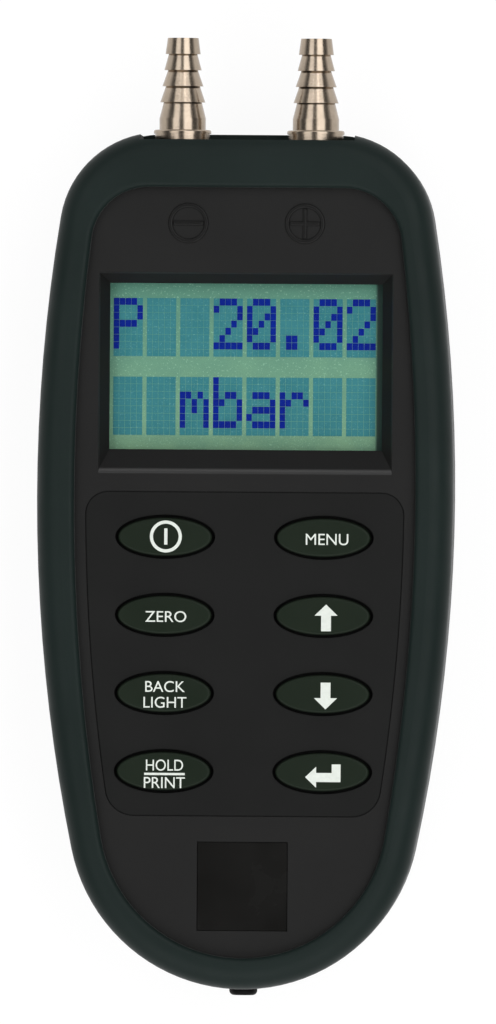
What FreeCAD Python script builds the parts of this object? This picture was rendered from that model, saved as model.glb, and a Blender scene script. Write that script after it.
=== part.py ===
"""Digital manometer: a hand-held pressure meter in a rubber boot, two spigots at its top end.

It lies on its back. X runs across, Y towards the spigots, Z out of the display,
and the origin is the middle of the boot's back face. Lengths are millimetres.
"""
import FreeCAD
import Part
import Sketcher
import math
import os
import re

Vector = FreeCAD.Vector

# Driving dimensions: name, size, what it measures
SIZES = [
    # The rubber boot
    ("body_length", 179.4, "boot, end to end"),
    ("body_width", 87.2, "boot at its widest"),
    ("body_depth", 43.0, "boot, back to front"),
    ("end_radius", 36.65, "boot outline, round lower end"),
    ("corner_radius", 21.0, "boot outline, upper corners"),
    ("waist_height", 14.2, "widest place above the middle"),
    ("boot_wall", 2.4, "boot, side wall"),
    ("boot_back", 3.4, "boot, back wall"),
    ("boot_lip", 2.5, "boot lip above the fascia"),
    ("lip_side", 7.9, "lip width at the sides"),
    ("lip_top", 11.5, "lip width at the top"),
    ("lip_end", 6.6, "lip width round the lower end"),
    ("lip_corner", 12.0, "lip window, upper corners"),
    ("boot_front_round", 5.0, "boot, front edge"),
    ("boot_back_round", 7.0, "boot, back edge"),
    ("lip_round", 1.2, "boot lip, inner edge"),
    ("slot_width", 45.0, "opening in the boot's top wall"),
    ("slot_below", 11.0, "that opening below the spigot axis"),
    ("slot_edge", 1.5, "lip edge at that opening, back from the top end"),
    # The case
    ("case_gap", 0.12, "fit between boot and case"),
    ("case_wall", 2.2, "case, wall"),
    ("case_back_round", 5.0, "case, back edge"),
    ("case_front_round", 2.0, "case, front edge"),
    ("tongue_width", 0.7, "tongue along the case joint"),
    ("tongue_height", 0.9, "tongue along the case joint"),
    ("tongue_gap", 0.1, "room round the tongue"),
    ("platform_rise", 1.0, "spigot platform above the case end"),
    ("slot_above", 14.0, "spigot platform above the spigot axis"),
    ("fit_gap", 0.15, "general fit between pieces"),
    ("root_depth", 0.1, "raised forms, root inside what carries them"),
    ("cut_margin", 1.0, "cuts, run past the surface"),
    ("post_radius", 4.2, "case posts"),
    ("upper_post_side", 18.1, "upper case posts from the boot's sides"),
    ("upper_post_end", 13.7, "upper case posts from the top end"),
    ("lower_post_side", 21.6, "lower case posts from the boot's sides"),
    ("lower_post_end", 23.7, "lower case posts from the lower end"),
    ("head_pocket_radius", 3.0, "screw head pocket"),
    ("seat_depth", 9.0, "case screws' seats below the spigot axis"),
    ("shank_hole_radius", 1.7, "screw shank hole"),
    ("pilot_radius", 1.35, "screw pilot hole"),
    ("pilot_depth", 11.0, "pilot holes above the spigot axis"),
    # Screws
    ("case_head_radius", 2.7, "case screw, head"),
    ("case_head_height", 2.2, "case screw, head"),
    ("case_shank_radius", 1.25, "case screw, shank"),
    ("case_screw_length", 18.0, "case screw, below its head"),
    ("small_head_radius", 1.8, "board screws, head"),
    ("small_head_height", 1.2, "board screws, head"),
    ("small_shank_radius", 0.9, "board screws, shank"),
    ("small_screw_length", 6.0, "board screws, below the head"),
    ("small_hole_radius", 1.0, "board screws, hole and pilot"),
    # Battery bay
    ("cell_radius", 7.25, "battery"),
    ("cell_length", 49.5, "battery without its nub"),
    ("nub_radius", 2.75, "battery nub"),
    ("nub_height", 1.0, "battery nub"),
    ("cell_round", 0.6, "battery, end edges"),
    ("cell_gap", 0.25, "room round each battery"),
    ("bay_side_room", 0.5, "room beside the outer batteries"),
    ("bay_end", 29.7, "battery bay from the lower end"),
    ("tray_wall", 1.8, "battery bay, side walls"),
    ("tray_roof", 1.2, "battery bay, roof"),
    ("door_thickness", 2.0, "battery door"),
    ("door_ledge", 1.2, "ledge that carries the door"),
    ("door_round", 3.0, "battery door, corners"),
    ("hook_spacing", 24.0, "between the battery door's hooks"),
    ("hook_width", 6.0, "battery door, hook"),
    ("hook_reach", 1.2, "battery door, hook beyond the bay"),
    ("hook_thickness", 1.0, "battery door, hook"),
    ("grip_length", 16.0, "battery door, finger recess"),
    ("grip_width", 5.0, "battery door, finger recess"),
    ("grip_depth", 0.9, "battery door, finger recess"),
    ("grip_place", 4.0, "finger recess from the bay's lower end"),
    ("contact_plate", 0.4, "contact, sheet thickness"),
    ("contact_width", 8.0, "contact, height of the plate"),
    ("contact_boss", 0.8, "contact, boss under the nub"),
    ("boss_inset", 0.5, "contact, boss inside the nub's edge"),
    ("leaf_reach", 4.0, "contact, reach of the leaf"),
    ("leaf_width", 5.0, "contact, width of the leaf"),
    ("leaf_tip", 1.0, "contact, flat tip of the leaf"),
    # Spigots
    ("spigot_spacing", 28.0, "between the two spigots"),
    ("axis_drop", 3.1, "spigot axis and case joint below the main board"),
    ("collar_radius", 6.05, "spigot, bead of the collar"),
    ("collar_foot_radius", 5.8, "spigot, foot of the collar"),
    ("foot_round", 0.3, "spigot, lower edge of that foot"),
    ("collar_height", 2.3, "spigot, collar"),
    ("bead_height", 0.8, "spigot, bead of the collar"),
    ("bead_round", 0.4, "spigot, upper edge of that bead"),
    ("root_radius", 4.88, "spigot, plain root"),
    ("root_height", 2.4, "spigot, plain root"),
    ("barb_pitch", 3.38, "spigot, one barb"),
    ("first_waist", 4.03, "spigot, foot of the first barb"),
    ("second_crown", 4.75, "spigot, second barb"),
    ("second_waist", 3.6, "spigot, foot of the second barb"),
    ("third_crown", 4.33, "spigot, third barb"),
    ("third_waist", 3.15, "spigot, foot of the third barb"),
    ("fourth_crown", 3.93, "spigot, fourth barb"),
    ("fourth_waist", 3.02, "spigot, foot of the fourth barb"),
    ("nose_crown", 3.7, "spigot, nose"),
    ("mouth_radius", 3.25, "spigot, mouth edge"),
    ("bore_radius", 2.0, "spigot, bore"),
    ("bore_depth", 19.0, "spigot, depth of the wide bore"),
    ("tail_bore_radius", 1.1, "spigot, bore of the tail"),
    ("neck_radius", 4.2, "spigot, neck in the case wall"),
    ("flange_radius", 6.0, "spigot, flange inside the case"),
    ("flange_height", 2.3, "spigot, flange inside the case"),
    ("tail_radius", 1.9, "spigot, tail"),
    ("tail_length", 8.0, "spigot, tail"),
    # Sensor and tubes
    ("sensor_width", 22.0, "pressure sensor"),
    ("sensor_length", 22.0, "pressure sensor"),
    ("sensor_depth", 8.0, "pressure sensor"),
    ("sensor_end", 61.7, "pressure sensor from the top end"),
    ("port_spacing", 18.0, "between the sensor's ports"),
    ("port_length", 9.0, "sensor port"),
    ("tube_overlap", 7.0, "tube pushed over a port or tail"),
    ("tube_wall", 1.05, "silicone tube, wall"),
    ("tube_bend", 10.0, "silicone tube, bends"),
    ("tube_fit", 0.05, "silicone tube, bore over a port or tail"),
    # Boards
    ("board_thickness", 1.6, "circuit boards"),
    ("board_spacing", 1.45, "between the main board and the display board"),
    ("board_inset", 6.9, "main board inside the boot outline"),
    ("board_end", 18.5, "main board from the top end"),
    ("notch_gap", 0.4, "room round a post"),
    ("board_post_radius", 2.4, "main board posts"),
    ("upper_board_post_side", 12.6, "upper board posts from the boot's sides"),
    ("upper_board_post_end", 76.2, "upper board posts from the top end"),
    ("lower_board_post_x", 12.0, "lower board posts from the middle"),
    ("lower_board_post_gap", 1.0, "screw heads there from the battery bay"),
    ("chip_size", 14.0, "processor"),
    ("chip_height", 1.6, "processor"),
    ("chip_gap", 5.0, "processor from the sensor"),
    ("buzzer_radius", 6.0, "buzzer"),
    ("buzzer_height", 4.6, "buzzer"),
    ("buzzer_side", 20.6, "buzzer from the boot's side"),
    ("sound_hole_radius", 1.0, "hole in the buzzer"),
    ("sound_hole_depth", 2.0, "hole in the buzzer"),
    # Display
    ("window_width", 57.1, "display window"),
    ("window_height", 34.8, "display window"),
    ("window_end", 49.0, "display window centre from the top end"),
    ("bevel_side", 2.2, "bevel beside the window"),
    ("bevel_above", 2.2, "bevel above the window"),
    ("bevel_below", 4.45, "bevel below the window"),
    ("bevel_depth", 3.0, "bevel round the window"),
    ("mouth_round", 2.2, "bevel, lower edge on the fascia"),
    ("surround_wall", 0.8, "wall under the bevel and beside the lens"),
    ("lens_margin", 1.65, "window lens beyond the window"),
    ("lens_thickness", 1.5, "window lens"),
    ("frame_margin", 0.4, "frame opening beyond the window"),
    ("frame_lip", 0.5, "display frame over the glass"),
    ("frame_wall", 0.9, "display frame, side wall"),
    ("glass_margin", 0.75, "display glass beyond the window"),
    ("glass_thickness", 2.0, "display glass"),
    ("backlight_thickness", 1.8, "display backlight"),
    ("display_board_side", 9.1, "display board from the boot's sides"),
    ("display_board_length", 47.0, "display board"),
    ("display_post_radius", 2.0, "display board posts"),
    ("display_post_inset", 1.9, "display posts from the board's ends"),
    ("display_post_side", 3.0, "display posts inside the window's width"),
    ("header_length", 40.0, "pin header"),
    ("header_width", 2.5, "pin header"),
    ("header_inset", 1.0, "pin header from the display board's edge"),
    # Keypad
    ("key_spacing", 33.2, "between the two columns of keys"),
    ("key_pitch", 16.35, "between rows of keys"),
    ("top_row_end", 84.7, "top row of keys from the top end"),
    ("key_length", 19.8, "key cap, long axis"),
    ("key_width", 8.2, "key cap, short axis"),
    ("key_ring", 0.55, "gap ring round a key cap"),
    ("key_rise", 1.1, "key cap above the fascia"),
    ("key_round", 0.7, "key cap, top edge"),
    ("key_flange", 1.5, "key flange beyond the cap"),
    ("flange_thickness", 1.2, "key flange"),
    ("flange_gap", 0.3, "key flange under the front wall"),
    ("key_top_wall", 2.0, "key cap, top wall"),
    ("key_side_wall", 1.4, "key cap, side wall"),
    ("key_height", 7.2, "key cap, top to lower edge"),
    ("mat_sheet", 1.2, "key mat, sheet"),
    ("dome_radius", 5.0, "key mat, foot of a dome"),
    ("dome_rise", 2.4, "key mat, dome"),
    ("pedestal_radius", 2.2, "key mat, pedestal"),
    ("mat_margin", 5.0, "key mat beyond its domes, at the sides"),
    ("mat_end", 1.0, "key mat beyond its domes, at the ends"),
    ("overlay_thickness", 0.5, "keypad overlay"),
    ("overlay_gap", 0.25, "groove round the overlay"),
    ("overlay_inset", 2.5, "overlay inside the boot lip"),
    ("overlay_above", 9.3, "overlay above the top row"),
    ("overlay_below", 9.2, "overlay below the last row"),
    ("overlay_upper_corner", 4.6, "overlay, upper corners"),
    ("overlay_lower_corner", 5.9, "overlay, lower corners"),
    # Marks and badge
    ("mark_spacing", 24.4, "between the two port marks"),
    ("mark_end", 19.0, "port marks from the top end"),
    ("mark_radius", 4.2, "port mark, ring"),
    ("mark_line", 0.9, "port mark, line width"),
    ("mark_bar", 6.3, "port mark, bar length"),
    ("mark_rise", 0.4, "port mark above the fascia"),
    ("mark_round", 0.3, "port mark, upper edges"),
    ("badge_width", 18.7, "badge"),
    ("badge_height", 18.4, "badge"),
    ("badge_end", 21.6, "badge centre from the lower end"),
    ("badge_pocket", 0.8, "badge recess"),
    ("badge_thickness", 0.6, "badge"),
    # Lower end and top end fittings
    ("bung_radius", 2.95, "socket bung, head"),
    ("bung_rise", 1.5, "bung beyond the boot"),
    ("bung_round", 1.0, "socket bung, outer edge"),
    ("bung_stem_radius", 1.6, "socket bung, stem"),
    ("bung_stem_length", 5.0, "socket bung, stem"),
    ("socket_width", 9.0, "data socket"),
    ("socket_length", 12.0, "data socket"),
    ("socket_depth", 7.0, "data socket"),
    ("infrared_width", 8.0, "infrared window"),
    ("infrared_height", 5.0, "infrared window"),
    ("infrared_flange", 1.2, "infrared window, flange"),
    ("emitter_radius", 2.5, "infrared emitter"),
    ("emitter_length", 7.0, "infrared emitter"),
    ("lead_size", 0.5, "infrared emitter, leads"),
    ("lead_spacing", 2.54, "infrared emitter, leads"),
    ("lead_root", 0.5, "infrared emitter, leads inside it"),
    ("lead_inset", 2.0, "infrared emitter, leads from the board's edge"),
]

NAMES = {name for name, size, meaning in SIZES}

doc = FreeCAD.newDocument("digital_manometer")
sheet = doc.addObject("Spreadsheet::Sheet", "Sizes")
for row, (name, size, meaning) in enumerate(SIZES, 1):
    sheet.set(f"A{row}", name)
    sheet.set(f"B{row}", str(size))
    sheet.set(f"C{row}", meaning)
    sheet.setAlias(f"B{row}", name)
doc.recompute()

# Levels and places worked out from the driving dimensions
CASE_BACK = "(boot_back + case_gap)"
CASE_FLOOR = f"({CASE_BACK} + case_wall)"
FACE = "(body_depth - boot_lip)"
FACE_UNDERSIDE = f"({FACE} - case_wall)"
CASE_INSET = "(boot_wall + case_gap)"
ROOM_INSET = f"({CASE_INSET} + case_wall)"
CASE_TOP = f"(body_length/2 - {CASE_INSET})"
ROOM_TOP = f"(body_length/2 - {ROOM_INSET})"
PLATFORM = f"({CASE_TOP} + platform_rise)"
END_CENTRE = "(end_radius - body_length/2)"
UPPER_POST_X = "(body_width/2 - upper_post_side)"
UPPER_POST_Y = "(body_length/2 - upper_post_end)"
LOWER_POST_X = "(body_width/2 - lower_post_side)"
LOWER_POST_Y = "(lower_post_end - body_length/2)"
BAY_LOW = "(bay_end - body_length/2)"
CELL_SPAN = "(cell_length + nub_height)"
BAY_LENGTH = f"({CELL_SPAN} + 2*contact_plate + leaf_reach + contact_boss + 2*fit_gap)"
BAY_HIGH = f"({BAY_LOW} + {BAY_LENGTH})"
CELL_PITCH = "(2*(cell_radius + cell_gap))"
BAY_HALF = f"(3*cell_radius + 2*cell_gap + bay_side_room)"
DOOR_TOP = f"({CASE_BACK} + door_thickness)"
CELL_HEIGHT = f"({DOOR_TOP} + cell_gap + cell_radius)"
BAY_ROOF = f"({CELL_HEIGHT} + cell_radius + cell_gap)"
WINDOW_Y = "(body_length/2 - window_end)"
WINDOW_UNDERSIDE = f"({FACE} - bevel_depth - surround_wall)"
LENS_UNDERSIDE = f"({WINDOW_UNDERSIDE} - lens_thickness)"
GLASS_TOP = f"({LENS_UNDERSIDE} - fit_gap - frame_lip)"
GLASS_UNDERSIDE = f"({GLASS_TOP} - glass_thickness)"
DISPLAY_BOARD_TOP = f"({GLASS_UNDERSIDE} - backlight_thickness)"
DISPLAY_BOARD_LOW = f"({DISPLAY_BOARD_TOP} - board_thickness)"
DISPLAY_BOARD_HALF = "(body_width/2 - display_board_side)"
DISPLAY_POST_X = "(window_width/2 - display_post_side)"
DISPLAY_POST_RUN = "(display_board_length/2 - display_post_inset)"
MAIN_BOARD_LOW = f"({DISPLAY_BOARD_LOW} - board_spacing - board_thickness)"
BOARD_TOP = f"({MAIN_BOARD_LOW} + board_thickness)"
AXIS = f"({MAIN_BOARD_LOW} - axis_drop)"
SLOT_FLOOR = f"({AXIS} - slot_below)"
PLATFORM_TOP = f"({AXIS} + slot_above)"
HEAD_SEAT = f"({AXIS} - seat_depth)"
PILOT_END = f"({AXIS} + pilot_depth)"
UPPER_BOARD_POST_X = "(body_width/2 - upper_board_post_side)"
UPPER_BOARD_POST_Y = "(body_length/2 - upper_board_post_end)"
LOWER_BOARD_POST_Y = f"({BAY_LOW} - tray_wall - lower_board_post_gap - small_head_radius)"
TOP_ROW = "(body_length/2 - top_row_end)"
LAST_ROW = f"({TOP_ROW} - 3*key_pitch)"
CAP_TOP = f"({FACE} + key_rise)"
KEY_SKIRT = f"({CAP_TOP} - key_height)"
KEY_FLANGE_TOP = f"({FACE_UNDERSIDE} - flange_gap)"
MAT_TOP = f"({BOARD_TOP} + mat_sheet)"
OVERLAY_LOW = f"({FACE} - overlay_thickness)"
MARK_Y = "(body_length/2 - mark_end)"
BADGE_Y = "(badge_end - body_length/2)"
ROOM_RADIUS = f"(end_radius - {ROOM_INSET})"
SOCKET_FACE = f"({END_CENTRE} - sqrt({ROOM_RADIUS}^2 - (socket_width/2)^2) + fit_gap)"
TAIL_END = f"({ROOM_TOP} - fit_gap - flange_height - tail_length)"
SENSOR_TOP = f"(body_length/2 - sensor_end + sensor_length)"
PORT_END = f"({SENSOR_TOP} + port_length)"
TUBE_START = f"({PORT_END} - tube_overlap)"
TUBE_STOP = f"({TAIL_END} + tube_overlap)"
TUBE_BORE = "(tail_radius + tube_fit)"
TUBE_SHIFT = "((spigot_spacing - port_spacing)/2)"


# Reading sizes

def bound(text):
    """Give an expression that reads its named sizes from the sheet."""
    return re.sub(
        r"[a-z_]+",
        lambda word: f"Sizes.{word[0]}" if word[0] in NAMES else word[0],
        text,
    )


def value(text):
    """Work out an expression in millimetres."""
    result = sheet.evalExpression(bound(text))
    return float(getattr(result, "Value", result))


# Bodies, sketches and features

def new_body(label, across="0", along="0", up="0", turn=0):
    """Start a piece, placed at a point that follows the sizes."""
    body = doc.addObject("PartDesign::Body", label)
    body.Label = label
    body.Placement = FreeCAD.Placement(Vector(), FreeCAD.Rotation(Vector(0, 0, 1), turn))
    for axis, place in zip("xyz", (across, along, up)):
        if place != "0":
            body.setExpression(f"Placement.Base.{axis}", bound(place))
    return body


def new_sketch(body, level="0", plane="XY_Plane"):
    """Add a sketch on an origin plane, at a level along the plane's own axis."""
    sketch = body.newObject("Sketcher::SketchObject", f"{body.Label}_sketch")
    for feature in body.Origin.OriginFeatures:
        if feature.Role == plane:
            sketch.AttachmentSupport = [(feature, "")]
    sketch.MapMode = "FlatFace"
    if level != "0":
        away = f"-({level})" if plane == "XZ_Plane" else level
        sketch.setExpression("AttachmentOffset.Base.z", bound(away))
    return sketch


def size(sketch, kind, *references, to):
    """Hold a distance or radius in a sketch to an expression."""
    number = sketch.addConstraint(Sketcher.Constraint(kind, *references, value(to)))
    sketch.setExpression(f"Constraints[{number}]", bound(to))


def place(sketch, shape, point, across, along):
    """Hold one point of a sketch shape at a place measured from the origin."""
    size(sketch, "DistanceX", -1, 1, shape, point, to=across)
    size(sketch, "DistanceY", -1, 1, shape, point, to=along)


def polygon(sketch, corners):
    """Draw a closed outline of straight lines through corners."""
    points = [Vector(value(across), value(along), 0) for across, along in corners]
    lines = []
    for start, end in zip(points, points[1:] + points[:1]):
        lines.append(sketch.addGeometry(Part.LineSegment(start, end)))
    for line, after in zip(lines, lines[1:] + lines[:1]):
        sketch.addConstraint(Sketcher.Constraint("Coincident", line, 2, after, 1))
    for line, (across, along) in zip(lines, corners):
        place(sketch, line, 1, across, along)


def rectangle(sketch, left, right, low, high):
    """Draw a plain rectangle."""
    polygon(sketch, [(left, low), (right, low), (right, high), (left, high)])


def circle(sketch, across, along, radius):
    """Draw a circle."""
    centre = Vector(value(across), value(along), 0)
    ring = sketch.addGeometry(Part.Circle(centre, Vector(0, 0, 1), value(radius)))
    place(sketch, ring, 3, across, along)
    size(sketch, "Radius", ring, to=radius)


def ellipse(sketch, across, along, half_length, half_width):
    """Draw an ellipse whose long axis lies across."""
    x, y = value(across), value(along)
    far, near = value(half_length), value(half_width)
    curve = Part.Ellipse(Vector(x + far, y, 0), Vector(x, y + near, 0), Vector(x, y, 0))
    ring = sketch.addGeometry(curve)
    sketch.exposeInternalGeometry(ring)
    long_axis, short_axis = ring + 1, ring + 2
    place(sketch, ring, 3, across, along)
    sketch.addConstraint(Sketcher.Constraint("Horizontal", long_axis))
    size(sketch, "Distance", long_axis, to=f"2*({half_length})")
    size(sketch, "Distance", short_axis, to=f"2*({half_width})")


def join_round(sketch, shapes):
    """Join lines and arcs into one smooth closed loop."""
    for shape, after in zip(shapes, shapes[1:] + shapes[:1]):
        sketch.addConstraint(Sketcher.Constraint("Tangent", shape, 2, after, 1))


def arc(sketch, across, along, radius, start, end):
    """Draw an arc about a centre, from one angle to another, in radians."""
    ring = Part.Circle(Vector(across, along, 0), Vector(0, 0, 1), radius)
    return sketch.addGeometry(Part.ArcOfCircle(ring, start, end))


def line(sketch, start, end):
    """Draw a straight line between two points."""
    return sketch.addGeometry(Part.LineSegment(Vector(*start, 0), Vector(*end, 0)))


def rounded_rectangle(sketch, left, right, low, high, radius):
    """Draw a rectangle with round corners."""
    x0, x1, y0, y1 = value(left), value(right), value(low), value(high)
    r = value(radius)
    quarter = math.pi/2
    shapes = [
        line(sketch, (x0 + r, y0), (x1 - r, y0)),
        arc(sketch, x1 - r, y0 + r, r, -quarter, 0),
        line(sketch, (x1, y0 + r), (x1, y1 - r)),
        arc(sketch, x1 - r, y1 - r, r, 0, quarter),
        line(sketch, (x1 - r, y1), (x0 + r, y1)),
        arc(sketch, x0 + r, y1 - r, r, quarter, 2*quarter),
        line(sketch, (x0, y1 - r), (x0, y0 + r)),
        arc(sketch, x0 + r, y0 + r, r, 2*quarter, 3*quarter),
    ]
    join_round(sketch, shapes)
    for side in (0, 4):
        sketch.addConstraint(Sketcher.Constraint("Horizontal", shapes[side]))
    for side in (2, 6):
        sketch.addConstraint(Sketcher.Constraint("Vertical", shapes[side]))
    for corner in (3, 5, 7):
        sketch.addConstraint(Sketcher.Constraint("Equal", shapes[1], shapes[corner]))
    size(sketch, "Radius", shapes[1], to=radius)
    size(sketch, "DistanceY", -1, 1, shapes[0], 1, to=low)
    size(sketch, "DistanceY", -1, 1, shapes[4], 1, to=high)
    size(sketch, "DistanceX", -1, 1, shapes[2], 1, to=right)
    size(sketch, "DistanceX", -1, 1, shapes[6], 1, to=left)


def side_radius(half_width, radius):
    """Radius of the long side arc that meets the round lower end smoothly."""
    rise = f"(waist_height - {END_CENTRE})"
    return f"((({half_width})^2 + {rise}^2 - ({radius})^2) / (2*(({half_width}) - ({radius}))))"


def meter_outline(sketch, half_width, radius, corner, top):
    """Draw the meter's outline: round lower end, bowed sides and a flat top."""
    bow = side_radius(half_width, radius)
    wide, low, round_, high = (value(text) for text in (half_width, radius, corner, top))
    bow_radius, end_y, waist = value(bow), value(END_CENTRE), value("waist_height")
    bow_x = bow_radius - wide
    corner_y = high - round_
    corner_x = math.sqrt((bow_radius - round_)**2 - (corner_y - waist)**2) - bow_x
    foot = math.atan2(end_y - waist, bow_x)
    shoulder = math.atan2(corner_y - waist, corner_x + bow_x)
    half_turn = math.pi
    right = arc(sketch, -bow_x, waist, bow_radius, foot, shoulder)
    right_corner = arc(sketch, corner_x, corner_y, round_, shoulder, half_turn/2)
    top_line = line(sketch, (corner_x, high), (-corner_x, high))
    left_corner = arc(sketch, -corner_x, corner_y, round_, half_turn/2, half_turn - shoulder)
    left = arc(sketch, bow_x, waist, bow_radius, half_turn - shoulder, half_turn - foot)
    end = arc(sketch, 0, end_y, low, half_turn - foot, 2*half_turn + foot)
    join_round(sketch, [right, right_corner, top_line, left_corner, left, end])
    sketch.addConstraint(Sketcher.Constraint("Horizontal", top_line))
    sketch.addConstraint(Sketcher.Constraint("PointOnObject", end, 3, -2))
    sketch.addConstraint(Sketcher.Constraint("Equal", right_corner, left_corner))
    size(sketch, "DistanceY", -1, 1, end, 3, to=END_CENTRE)
    size(sketch, "Radius", end, to=radius)
    size(sketch, "DistanceY", -1, 1, top_line, 1, to=top)
    size(sketch, "Radius", right_corner, to=corner)
    size(sketch, "DistanceY", -1, 1, right, 3, to="waist_height")
    size(sketch, "DistanceY", -1, 1, left, 3, to="waist_height")
    size(sketch, "DistanceX", right, 3, -1, 1, to=f"{bow} - ({half_width})")
    size(sketch, "DistanceX", -1, 1, left, 3, to=f"{bow} - ({half_width})")


def inset_outline(sketch, inset="0"):
    """Draw the boot's outline, moved inwards all round."""
    meter_outline(
        sketch,
        f"body_width/2 - {inset}",
        f"end_radius - {inset}",
        f"corner_radius - {inset}",
        f"body_length/2 - {inset}",
    )


LIP_HALF = "(body_width/2 - lip_side)"
LIP_END = "(end_radius - lip_end)"


def lip_outline(sketch):
    """Draw the boot's window, the border of the fascia."""
    meter_outline(sketch, LIP_HALF, LIP_END, "lip_corner", "(body_length/2 - lip_top)")


def panel_outline(sketch, grow="0"):
    """Draw the keypad overlay: bowed sides beside the lip, flat top and bottom."""
    half = f"({LIP_HALF} - overlay_inset + {grow})"
    bow = f"({side_radius(LIP_HALF, LIP_END)} - overlay_inset + {grow})"
    top = f"({TOP_ROW} + overlay_above + {grow})"
    low = f"({LAST_ROW} - overlay_below - {grow})"
    upper, lower = f"(overlay_upper_corner + {grow})", f"(overlay_lower_corner + {grow})"
    wide, radius, waist = value(half), value(bow), value("waist_height")
    high_y, low_y, upper_r, lower_r = value(top), value(low), value(upper), value(lower)
    bow_x = radius - wide

    def corner_place(y, round_):
        across = math.sqrt((radius - round_)**2 - (y - waist)**2) - bow_x
        return across, math.atan2(y - waist, across + bow_x)

    half_turn = math.pi
    upper_x, shoulder = corner_place(high_y - upper_r, upper_r)
    lower_x, foot = corner_place(low_y + lower_r, lower_r)
    right = arc(sketch, -bow_x, waist, radius, foot, shoulder)
    upper_right = arc(sketch, upper_x, high_y - upper_r, upper_r, shoulder, half_turn/2)
    top_line = line(sketch, (upper_x, high_y), (-upper_x, high_y))
    upper_left = arc(sketch, -upper_x, high_y - upper_r, upper_r, half_turn/2, half_turn - shoulder)
    left = arc(sketch, bow_x, waist, radius, half_turn - shoulder, half_turn - foot)
    lower_left = arc(sketch, -lower_x, low_y + lower_r, lower_r, half_turn - foot, 3*half_turn/2)
    low_line = line(sketch, (-lower_x, low_y), (lower_x, low_y))
    lower_right = arc(sketch, lower_x, low_y + lower_r, lower_r, -half_turn/2, foot)
    join_round(sketch, [right, upper_right, top_line, upper_left, left, lower_left, low_line, lower_right])
    sketch.addConstraint(Sketcher.Constraint("Horizontal", top_line))
    sketch.addConstraint(Sketcher.Constraint("Horizontal", low_line))
    sketch.addConstraint(Sketcher.Constraint("Equal", upper_right, upper_left))
    sketch.addConstraint(Sketcher.Constraint("Equal", lower_right, lower_left))
    size(sketch, "DistanceY", -1, 1, top_line, 1, to=top)
    size(sketch, "DistanceY", -1, 1, low_line, 1, to=low)
    size(sketch, "Radius", upper_right, to=upper)
    size(sketch, "Radius", lower_right, to=lower)
    size(sketch, "Radius", right, to=bow)
    size(sketch, "Radius", left, to=bow)
    size(sketch, "DistanceY", -1, 1, right, 3, to="waist_height")
    size(sketch, "DistanceY", -1, 1, left, 3, to="waist_height")
    size(sketch, "DistanceX", right, 3, -1, 1, to=f"{bow} - {half}")
    size(sketch, "DistanceX", -1, 1, left, 3, to=f"{bow} - {half}")


def pad(sketch, length, both_ways=False, reverse=False):
    """Raise a sketch along its normal into solid."""
    body = sketch.getParentGeoFeatureGroup()
    feature = body.newObject("PartDesign::Pad", f"{body.Label}_pad")
    feature.Profile = sketch
    feature.setExpression("Length", bound(length))
    feature.SideType = "Symmetric" if both_ways else "One side"
    feature.Reversed = reverse
    return feature


def pocket(sketch, depth, both_ways=False, reverse=False):
    """Cut a sketch out of the solid, against its normal."""
    body = sketch.getParentGeoFeatureGroup()
    feature = body.newObject("PartDesign::Pocket", f"{body.Label}_pocket")
    feature.Profile = sketch
    feature.setExpression("Length", bound(depth))
    feature.SideType = "Symmetric" if both_ways else "One side"
    feature.Reversed = reverse
    return feature


def layer(body, low, high, draw):
    """Add what draw() sketches, between two heights."""
    sketch = new_sketch(body, low)
    draw(sketch)
    return pad(sketch, f"{high} - ({low})")


def cut(body, low, high, draw):
    """Cut away what draw() sketches, between two heights."""
    sketch = new_sketch(body, high)
    draw(sketch)
    return pocket(sketch, f"{high} - ({low})")


def turned(body, profile):
    """Turn a closed profile of (radius, place along) corners about the Y axis."""
    sketch = new_sketch(body)
    polygon(sketch, profile)
    feature = body.newObject("PartDesign::Revolution", f"{body.Label}_turning")
    feature.Profile = sketch
    feature.ReferenceAxis = (sketch, ["V_Axis"])
    return feature


def edges(feature, wanted):
    """Name the edges whose bounding box passes a test."""
    doc.recompute()
    shape = feature.Shape
    return [f"Edge{i}" for i, edge in enumerate(shape.Edges, 1) if wanted(edge.BoundBox)]


def level_at(box, height):
    """Tell whether an edge lies flat at one height."""
    return abs(box.ZMin - height) < 1e-4 and abs(box.ZMax - height) < 1e-4


def inside(box, half_width, low, high):
    """Tell whether an edge lies within a box across and along."""
    return box.XMax < half_width and box.XMin > -half_width and box.YMin > low and box.YMax < high


def round_edges(body, radius, wanted):
    """Round chosen edges of the solid so far."""
    feature = body.Tip
    names = edges(feature, wanted)
    fillet = body.newObject("PartDesign::Fillet", f"{body.Label}_round")
    fillet.Base = (feature, names)
    fillet.setExpression("Radius", bound(radius))
    return fillet


def both_sides(across):
    """Give a distance on each side of the middle."""
    return (f"-({across})", across)


# The boot

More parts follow.
